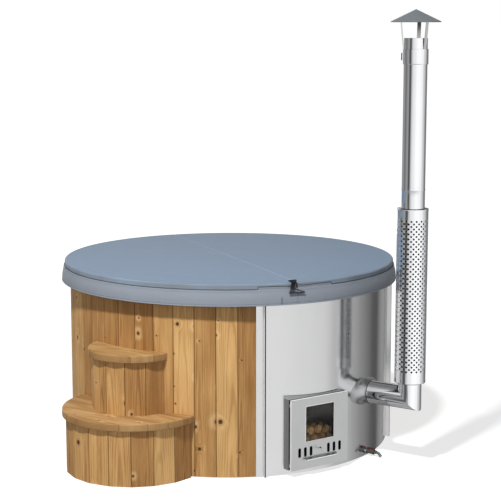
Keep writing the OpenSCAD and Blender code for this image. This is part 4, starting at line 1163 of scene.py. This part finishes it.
@dataclass
class HeatGuard:
    """The perforated guard round the flue: rows of round holes between two plain bands."""

    turn: float = FLUE_TURN
    axis_distance: float = FLUE_AXIS
    radius: float = 0.0812
    sheet: float = 0.0008
    hole: float = 0.0106
    columns: int = 19
    rows: int = 62
    low: float = 0.454
    first_row: float = 0.516
    high: float = 1.379
    rise: float = 0.01305

    def tile(self) -> bpy.types.Mesh:
        """Make one cell of the sheet with its hole, both faces and the hole's wall."""
        pitch = 2 * math.pi * self.radius / self.columns
        w, h = pitch / 2, self.rise / 2
        border = [(w, 0), (w, h), (w / 2, h), (0, h), (-w / 2, h), (-w, h), (-w, 0), (-w, -h), (-w / 2, -h), (0, -h),
                  (w / 2, -h), (w, -h)]
        angles = [0, 26, 58, 90, 122, 154, 180, 206, 238, 270, 302, 334]
        r = self.hole / 2
        ring = [(r * math.cos(math.radians(a)), r * math.sin(math.radians(a))) for a in angles]
        points, faces = [], []
        for depth in (0.0, self.sheet):
            points += [(x, depth, z) for x, z in border] + [(x, depth, z) for x, z in ring]
        n = len(border)
        for i in range(n):
            j = (i + 1) % n
            faces.append((i, j, n + j, n + i))
            faces.append((2 * n + j, 2 * n + i, 3 * n + i, 3 * n + j))
            faces.append((n + i, n + j, 3 * n + j, 3 * n + i))
        mesh = bpy.data.meshes.new("guard_cell")
        mesh.from_pydata(points, [], faces)
        return mesh

    def perforated(self, material: bpy.types.Material) -> bpy.types.Object:
        """Repeat the cell in staggered rows and bend the sheet round the flue.

        Args:
            material: the guard's finish.

        Returns:
            The perforated part as a plain mesh.
        """
        cell = new_piece("guard_cell_pattern", self.tile())
        t = NodeTree("perforated_sheet")
        columns = t.size("Holes Round", self.columns, "NodeSocketInt")
        rows = t.size("Rows", self.rows, "NodeSocketInt")
        pitch = t.size("Hole Spacing", 2 * math.pi * self.radius / self.columns)
        rise = t.size("Row Spacing", self.rise)
        radius = t.size("Guard Radius", self.radius)
        base = t.size("First Row Height", self.first_row + self.rise / 2)
        pattern = t.size("Cell", cell, "NodeSocketObject")
        finish = t.size("Finish", material, "NodeSocketMaterial")
        total = t.times(columns, rows)
        points = t.node("GeometryNodePoints", {"Count": total})
        index = t.node("GeometryNodeInputIndex", {})
        row = t.sum("FLOOR", t.sum("DIVIDE", t.plus(index, 0.01), columns))
        column = t.minus(index, t.times(row, columns))
        stagger = t.times(t.sum("MODULO", row, 2.0), 0.5)
        along = t.times(t.plus(column, stagger), pitch)
        up = t.sum("MULTIPLY_ADD", row, rise, base)
        place = t.join(along, 0.0, up)
        laid = t.node("GeometryNodeSetPosition", {"Geometry": points, "Position": place})
        shape = t.node("GeometryNodeObjectInfo", {"Object": pattern}, "Geometry")
        copies = t.node("GeometryNodeInstanceOnPoints", {"Points": laid, "Instance": shape})
        real = t.node("GeometryNodeRealizeInstances", {0: copies})
        across, deep, height = t.split(t.node("GeometryNodeInputPosition", {}))
        angle = t.sum("DIVIDE", across, radius)
        out = t.plus(radius, deep)
        bent = t.join(t.times(out, t.sum("SINE", angle)), t.times(t.times(out, -1.0), t.sum("COSINE", angle)), height)
        round_it = t.node("GeometryNodeSetPosition", {"Geometry": real, "Position": bent})
        merged = t.node("GeometryNodeMergeByDistance", {"Geometry": round_it, "Distance": 2e-5})
        t.finish(merged, finish)
        piece = t.bake("flue_heat_guard")
        bpy.data.objects.remove(cell)
        return piece

    def build(self, material: bpy.types.Material) -> None:
        """Close the sheet with plain bands and rolled ends, and put it round the flue."""
        piece = self.perforated(material)
        work = bmesh.new()
        work.from_mesh(piece.data)
        for end in (self.low, self.high):
            sign = 1 if end > 1 else -1
            edges = [e for e in work.edges if e.is_boundary and (e.verts[0].co.z - 0.9) * sign > 0]
            for height, out in ((end - sign * 0.0125, 0.0), (end - sign * 0.0095, 0.0007), (end - sign * 0.003, 0.0007),
                                (end, 0.0)):
                made = bmesh.ops.extrude_edge_only(work, edges=edges)
                moved = [v for v in made["geom"] if isinstance(v, bmesh.types.BMVert)]
                for v in moved:
                    flat = Vector((v.co.x, v.co.y))
                    level = self.radius + (self.sheet if flat.length > self.radius + self.sheet / 2 else 0.0)
                    flat = flat.normalized() * (level + out)
                    v.co = (flat.x, flat.y, height)
                edges = [e for e in made["geom"] if isinstance(e, bmesh.types.BMEdge)]
                edges = [e for e in edges if all(abs(v.co.z - height) < 1e-6 for v in e.verts)]
            bmesh.ops.bridge_loops(work, edges=edges)
        bmesh.ops.remove_doubles(work, verts=work.verts, dist=1e-6)
        bmesh.ops.recalc_face_normals(work, faces=work.faces)
        work.to_mesh(piece.data)
        work.free()
        soften(piece.data, 32.0)
        piece.data.transform(facing(self.turn) @ Matrix.Translation((0.0, -self.axis_distance, 0.0)))
        if not piece.data.materials:
            piece.data.materials.append(material)
        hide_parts("heat_guard")
        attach(piece, "tub")
        log.info("made the heat guard with %d faces", len(piece.data.polygons))


@dataclass
class Stitching:
    """Rows of stitches along the cover's edge seams."""

    turn: float = FOLD_TURN
    radius: float = 0.9368
    height: float = 0.9878
    length: float = 0.0052
    spacing: float = 0.0085

    def stitch(self) -> bpy.types.Mesh:
        """Make one stitch, a short thread that dips at both ends."""
        rows = []
        for at, lift, size in ((-0.5, -0.0004, 0.45), (-0.3, 0.0002, 1.0), (0.0, 0.0004, 1.0), (0.3, 0.0002, 1.0),
                               (0.5, -0.0004, 0.45)):
            rows.append([(at * self.length, -lift - 0.0005 * size * math.cos(a), 0.0005 * size * math.sin(a))
                         for a in turns(5)])
        return Skin().add(rows).mesh("stitch")

    def build(self, material: bpy.types.Material) -> None:
        """Set the stitches along each half's skirt seam."""
        for side, word in ((-1, "left"), (1, "right")):
            pattern = new_piece("stitch_pattern", self.stitch())
            t = NodeTree(f"seam_stitches_{word}")
            count = t.size("Stitches", int(math.pi * self.radius / self.spacing) - 4, "NodeSocketInt")
            radius = t.size("Seam Radius", self.radius)
            height = t.size("Seam Height", self.height)
            first = t.size("First Angle", math.radians(self.turn + (0.9 if side > 0 else 180.9)))
            step = t.size("Angle Step", self.spacing / self.radius)
            shape = t.size("Stitch", pattern, "NodeSocketObject")
            finish = t.size("Finish", material, "NodeSocketMaterial")
            points = t.node("GeometryNodePoints", {"Count": count})
            index = t.node("GeometryNodeInputIndex", {})
            angle = t.sum("MULTIPLY_ADD", index, step, first)
            x = t.times(radius, t.sum("SINE", angle))
            y = t.times(t.times(radius, -1.0), t.sum("COSINE", angle))
            placed = t.node("GeometryNodeSetPosition", {"Geometry": points, "Position": t.join(x, y, height)})
            copy = t.node("GeometryNodeObjectInfo", {"Object": shape}, "Geometry")
            rows = t.node("GeometryNodeInstanceOnPoints", {"Points": placed, "Instance": copy,
                                                           "Rotation": t.join(0.0, 0.0, angle)})
            t.finish(rows, finish)
            seam = t.bake(f"cover_seam_stitches_{word}")
            bpy.data.objects.remove(pattern)
            for polygon in seam.data.polygons:
                polygon.use_smooth = True
            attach(seam, f"cover_{word}")
            log.info("set %d faces of stitching on the %s half", len(seam.data.polygons), word)


# ---------------------------------------------------------------- floor, light and camera


@dataclass
class Studio:
    """Plain pale floor, soft light and the camera of the picture."""

    camera_at: Point = (0.0, -8.053, 2.3009)
    pitch: float = 0.1534
    yaw: float = 0.0151
    lens: float = 102.8
    fill: float = 0.60
    key: float = 720.0
    bands: tuple[tuple[float, float], ...] = (
        (-180, 252), (-155, 240), (-142, 120), (-125, 150), (-100, 108), (-78, 140), (-68, 150), (-58, 78),
        (-46, 84), (-36, 190), (-20, 226), (-7, 232), (13, 250), (33, 252), (53, 244), (70, 236), (82, 202),
        (93, 200), (101, 176), (110, 150), (118, 128), (126, 94), (133, 86), (139, 142), (146, 156), (154, 148),
        (163, 90), (170, 110), (180, 252))

    def floor(self) -> None:
        """Lay a wide pale floor that shows the shadow and goes over to white."""
        bpy.ops.mesh.primitive_circle_add(vertices=96, radius=60.0, fill_type="NGON")
        ground = bpy.context.object
        ground.name = "studio_floor"
        s = Shader("studio_floor")
        grain = s.blotches((3.0, 3.0, 3.0))
        colour = s.mix(s.times(grain, 0.05), (0.42,) * 3, (0.36,) * 3)
        away = s.node("ShaderNodeVectorMath", {0: s.place}, "Value", operation="LENGTH")
        white = s.between(away, 1.4, 5.0, 0.72, 0.98)
        s.dress(Base_Color=colour, Roughness=0.95, Specular_IOR_Level=0.0)
        seen = s.node("ShaderNodeLightPath", {}, "Is Camera Ray")
        glow = s.node("ShaderNodeEmission", {"Color": WHITE, "Strength": s.times(seen, white)})
        s.feed(s.out.inputs["Surface"], s.node("ShaderNodeAddShader", {0: s.surface.outputs[0], 1: glow}))
        ground.data.materials.append(s.material)
        ground.visible_glossy = False

    def surroundings(self) -> None:
        """Make the world: white to the camera, soft upright bands to polished metal."""
        world = bpy.data.worlds.new("studio")
        bpy.context.scene.world = world
        world.use_nodes = True
        tree = world.node_tree
        tree.nodes.clear()
        s = Network(tree)
        x, y, z = s.split(s.node("ShaderNodeTexCoord", {}, "Generated"))
        angle = s.sum("ARCTAN2", x, s.times(y, -1.0))
        share = s.sum("MULTIPLY_ADD", angle, 1.0 / (2.0 * math.pi), 0.5)
        stops = greys(*(((a + 180.0) / 360.0, linear(v) / 0.83) for a, v in self.bands))
        bands = s.ramp(share, stops, smooth=True)
        ahead = s.sum("COSINE", angle)
        window = s.times(s.between(ahead, 0.1, 0.6), s.between(z, 0.66, 0.86, 1.0, 0.0))
        sky = s.ramp(z, greys((0.2, 0.2), (0.34, 0.62), (0.48, 0.78), (0.56, 0.1), (0.72, 0.08), (0.82, 0.42),
                              (0.92, 0.3)))
        overhead = s.mix(window, sky, (0.95, 0.95, 0.95, 1.0))
        below = s.ramp(s.times(z, -1.0), greys((0.40, 0.42), (0.54, 0.46), (0.62, 0.06), (0.72, 0.10), (0.80, 0.50),
                                               (0.90, 0.34), (0.98, 0.06)))
        bands = s.mix(s.between(z, -0.52, -0.36, 1.0, 0.0), bands, below)
        glossy = s.mix(s.between(z, 0.2, 0.36), bands, overhead)
        path = tree.nodes.new("ShaderNodeLightPath")
        level = s.between(z, 0.1, 0.8, self.fill, 0.2 * self.fill)
        level = s.times(level, s.sum("MULTIPLY_ADD", ahead, 0.26, 0.78))
        plain = s.join(level, level, level)
        colour = s.mix(path.outputs["Is Glossy Ray"], plain, glossy)
        seen = s.sum("MAXIMUM", path.outputs["Is Camera Ray"], path.outputs["Is Transmission Ray"])
        colour = s.mix(seen, colour, WHITE)
        shine = s.node("ShaderNodeBackground", {"Color": colour, "Strength": 1.0})
        s.feed(tree.nodes.new("ShaderNodeOutputWorld").inputs[0], shine)

    def lamp(self, name: str, place: Point, aim: Point, size: float, power: float) -> None:
        """Hang one soft square lamp.

        Args:
            name: the lamp's name.
            place: where it hangs, in metres.
            aim: the point that it faces.
            size: length of its side, in metres.
            power: its power in watts.
        """
        data = bpy.data.lights.new(name, "AREA")
        data.shape = "SQUARE"
        data.size = size
        data.energy = power
        lamp = bpy.data.objects.new(name, data)
        bpy.context.scene.collection.objects.link(lamp)
        lamp.location = place
        lamp.rotation_euler = (Vector(aim) - Vector(place)).to_track_quat("-Z", "Y").to_euler()
        lamp.visible_glossy = False

    def camera(self) -> None:
        """Place the camera where the picture was taken from."""
        data = bpy.data.cameras.new("picture_camera")
        data.lens = self.lens
        data.sensor_width = 36.0
        data.clip_end = 200.0
        camera = bpy.data.objects.new("picture_camera", data)
        bpy.context.scene.collection.objects.link(camera)
        camera.location = self.camera_at
        camera.rotation_euler = (math.pi / 2 - self.pitch, 0.0, -self.yaw)
        bpy.context.scene.camera = camera

    def build(self) -> None:
        """Set up the whole studio."""
        self.floor()
        self.surroundings()
        self.lamp("key_lamp", (-1.64, -4.51, 7.4), (0.0, 0.0, 0.5), 0.5, self.key)
        self.camera()
        bpy.context.scene.view_settings.view_transform = "Standard"
        log.info("studio ready")


# ---------------------------------------------------------------- the whole tub


@dataclass
class HotTub:
    """The tub as a whole: which finish each piece takes."""

    step_distance: float = 0.843

    def timbers(self) -> list[Timber]:
        """List the woods; those of the steps lie round the steps' own axis."""
        at = facing(STEP_TURN) @ Vector((0.0, -self.step_distance, 0.0))
        steps: dict[str, Any] = {"centre": (at.x, at.y), "turn": STEP_TURN}
        riser = {**steps, "start": 0.0, "around": 60}
        # The treads take darker tones than the risers' boards: painted shade that offsets the stronger light on their
        # upward faces.
        tread = {**steps, "layout": Layout.ACROSS, "pitch": 0.092, "around": 40, "knots": 0.3, "joint": 0.2,
                 "pale": tone(190, 154, 106), "middle": tone(163, 125, 79), "deep": tone(127, 91, 54)}
        return [Timber("heat_treated_boards"),
                Timber("lower_step_boards", radius=0.368, pitch=18.4, seed=71.0, **riser),
                Timber("upper_step_boards", radius=0.228, pitch=27.6, seed=93.0, **riser),
                Timber("lower_tread_boards", start=-0.338, seed=131.0, **tread),
                Timber("upper_tread_boards", start=-0.198, seed=157.0, **tread),
                Timber("construction_timber", layout=Layout.BEAM, pitch=0.14, start=0.0, seed=211.0,
                       pale=tone(226, 200, 156), middle=tone(206, 172, 122), deep=tone(170, 134, 88))]

    def metals(self) -> list[Steel]:
        """List the steels."""
        return [Steel("brushed_panel", tone(204, 204, 205), 0.14, Brush.LEVEL),
                Steel("trim_steel", tone(211, 211, 211), 0.26, Brush.UPRIGHT, 0.4),
                # A brighter, less metallic copy of the trim steel for the far trim: a painted highlight.
                Steel("far_trim_painted_highlight", tone(244, 244, 244), 0.3, Brush.UPRIGHT, metal=0.6),
                Steel("door_steel", tone(199, 200, 200), 0.33, Brush.UPRIGHT, 0.6),
                Steel("collar_steel", tone(184, 185, 186), 0.34, Brush.LEVEL, 0.2),
                Steel("polished_flue", tone(240, 241, 243), 0.09, Brush.LEVEL, 0.16),
                Steel("cap_steel", tone(114, 120, 124), 0.5, metal=0.35),
                Steel("fitting_steel", tone(214, 214, 212), 0.24),
                Steel("black_steel", tone(36, 36, 38), 0.52, metal=0.6, dirt=tone(70, 66, 62), lines=0.6),
                Steel("sooty_steel", tone(58, 54, 50), 0.62, metal=0.7, dirt=tone(30, 26, 24), cloud=0.6, lines=0.8),
                # Near-white, mostly matt steel: a painted highlight for the lit edges of the door, the handle's lip,
                # the window bead and the near panel trim.
                Steel("painted_highlight_steel", tone(250, 250, 250), 0.3, metal=0.2, lines=0.2),
                Steel("tarnished_and_shaded_steel", tone(64, 58, 54), 0.42, dirt=tone(40, 36, 40), cloud=0.5, lines=0.4),
                Steel("tap_steel", tone(104, 100, 96), 0.32, metal=0.8),
                Steel("spout_steel", tone(150, 156, 150), 0.3)]

    def mouldings(self) -> list[Moulded]:
        """List the plastics, paints, rubbers and threads."""
        return [Moulded("cast_grate", tone(52, 50, 48), tone(84, 78, 72), 0.7, 420.0, 0.0006),
                Moulded("chamber_soot", tone(20, 18, 17), tone(36, 32, 29), 0.9, 120.0, 0.0006, 0.2),
                Moulded("matt_black_paint", tone(14, 14, 15), tone(24, 24, 25), 0.75, 500.0, specular=0.2),
                Moulded("joint_rubber", tone(42, 43, 45), tone(60, 61, 64), 0.7, 700.0),
                Moulded("rope_seal", tone(120, 114, 104), tone(72, 68, 62), 0.9, 900.0, 0.0012),
                Moulded("shell_laminate", tone(200, 206, 212), tone(188, 195, 203), 0.28, 60.0, 0.0001),
                Moulded("red_handle", tone(92, 20, 20), tone(60, 14, 14), 0.45, 300.0),
                Moulded("loop_plastic", tone(24, 25, 27), tone(44, 45, 48), 0.42, 700.0, 0.0002),
                # Dark cord for the flap edges, the skirt seams and the vent slit: painted shade of the gaps there.
                Moulded("cover_shade_cord", tone(52, 57, 64), tone(74, 80, 88), 0.7, 900.0),
                Moulded("seam_thread", tone(150, 160, 172), tone(122, 132, 146), 0.8, 900.0)]

    def finishes(self) -> dict[str, bpy.types.Material]:
        """Draw every finish, by its name."""
        listed = [*self.timbers(), *self.metals(), *self.mouldings(), Glass("stove_glass"), SplitLogs("split_logs"),
                  Webbing("strap_webbing"),
                  Vinyl("cover_vinyl", colour=tone(116, 135, 157), wear_and_sheen=tone(142, 158, 177), side_from=0.9262),
                  Vinyl("cover_skirt", colour=tone(142, 149, 159), wear_and_sheen=tone(166, 173, 182), fold=0.001)]
        return {finish.name: finish.material() for finish in listed}

    def build(self) -> None:
        """Dress every piece and make the detailed ones."""
        d = Dresser(self.finishes())
        d.flat("heat_treated_boards", "cladding_boards")
        d.flat("lower_step_boards", "step_lower_risers")
        d.flat("upper_step_boards", "step_upper_risers")
        d.rounded("lower_tread_boards", "step_lower_tread")
        d.rounded("upper_tread_boards", "step_upper_tread")
        d.flat("construction_timber", "base_skids", "base_joists", "frame_hoops", "frame_posts", "step_lower_plates",
               "step_upper_plates")
        d.rounded("brushed_panel", "steel_panel")
        d.flat("trim_steel", "panel_rails")
        d.rounded("trim_steel", "panel_trims")
        # Painted highlight on the near trim's fin side and lip edge.
        d.accent("panel_trims", "painted_highlight_steel", PANEL_START, lambda at, out: out.x < -0.9 and at.y < -0.903)
        # Painted highlight: the far trim's front faces take the brighter copy of the trim steel.
        d.accent("panel_trims", "far_trim_painted_highlight", PANEL_END, lambda at, out: at.y < -0.88)
        d.rounded("door_steel", "door_leaf", "door_handle", "stove_surround", angle=30.0)
        # Painted highlight on the door's left and top edges.
        d.accent("door_leaf", "painted_highlight_steel", DOOR_TURN,
                 lambda at, out: out.x < -0.7 and at.x < -0.2375 or out.z > 0.7 and at.z > 0.41)
        # Painted highlight on the handle's rolled lip.
        d.accent("door_handle", "painted_highlight_steel", DOOR_TURN, lambda at, out: at.y < -0.9572)
        d.rounded("fitting_steel", "hinge_pins", "slide_guides", "guard_spacers")
        d.rounded("tap_steel", "drain_valve")
        d.flat("fitting_steel", "door_hinge_ears", "frame_hinge_ears", "circulation_grilles", "floor_drain_grate",
               "cap_legs")
        d.flat("matt_black_paint", "air_slide", "glass_retainer", "door_inner_frame")
        d.flat("chamber_soot", "firebox")
        d.flat("black_steel", "firebox_stand")
        d.flat("sooty_steel", "ash_tray", "smoke_box")
        d.flat("cast_grate", "fire_grate")
        d.flat("stove_glass", "door_glass")
        d.rounded("rope_seal", "door_seal")
        d.rounded("shell_laminate", "tub_shell")
        d.rounded("fitting_steel", "circulation_pipes", "drain_pipe")
        d.rounded("collar_steel", "flue_stub")
        d.slim("flue_stub", FLUE_TURN, Fittings.outlet, Fittings.pipe)
        d.rounded("polished_flue", "flue_elbow", "flue_pipe_upper", "cap_clamp_band", "air_knob")
        d.accent("cap_clamp_band", "tap_steel", FLUE_TURN, lambda at, out: at.y + FLUE_AXIS > 0.0655)
        # The pipe inside the guard is darkened: partly heat tarnish, partly painted shade so that the guard's holes
        # read dark.
        d.rounded("polished_flue", "flue_pipe_lower", cuts=TARNISH_AND_SHADE)
        d.accent("flue_pipe_lower", "tarnished_and_shaded_steel", FLUE_TURN,
                 lambda at, out: TARNISH_AND_SHADE[0] < at.z < TARNISH_AND_SHADE[1])
        d.rounded("cap_steel", "rain_cap")
        d.rounded("red_handle", "drain_handle")
        d.rounded("spout_steel", "drain_spout")
        d.rounded("loop_plastic", "cover_pull_loop")
        PaddedCover().build(d)
        Fittings().build(d)
        HeatGuard().build(d.finishes["polished_flue"])
        Stitching().build(d.finishes["seam_thread"])


def main() -> None:
    """Build the studio and the tub."""
    logging.basicConfig(level=logging.INFO, format="%(name)s: %(message)s")
    Studio().build()
    HotTub().build()


if __name__ == "__main__":
    main()
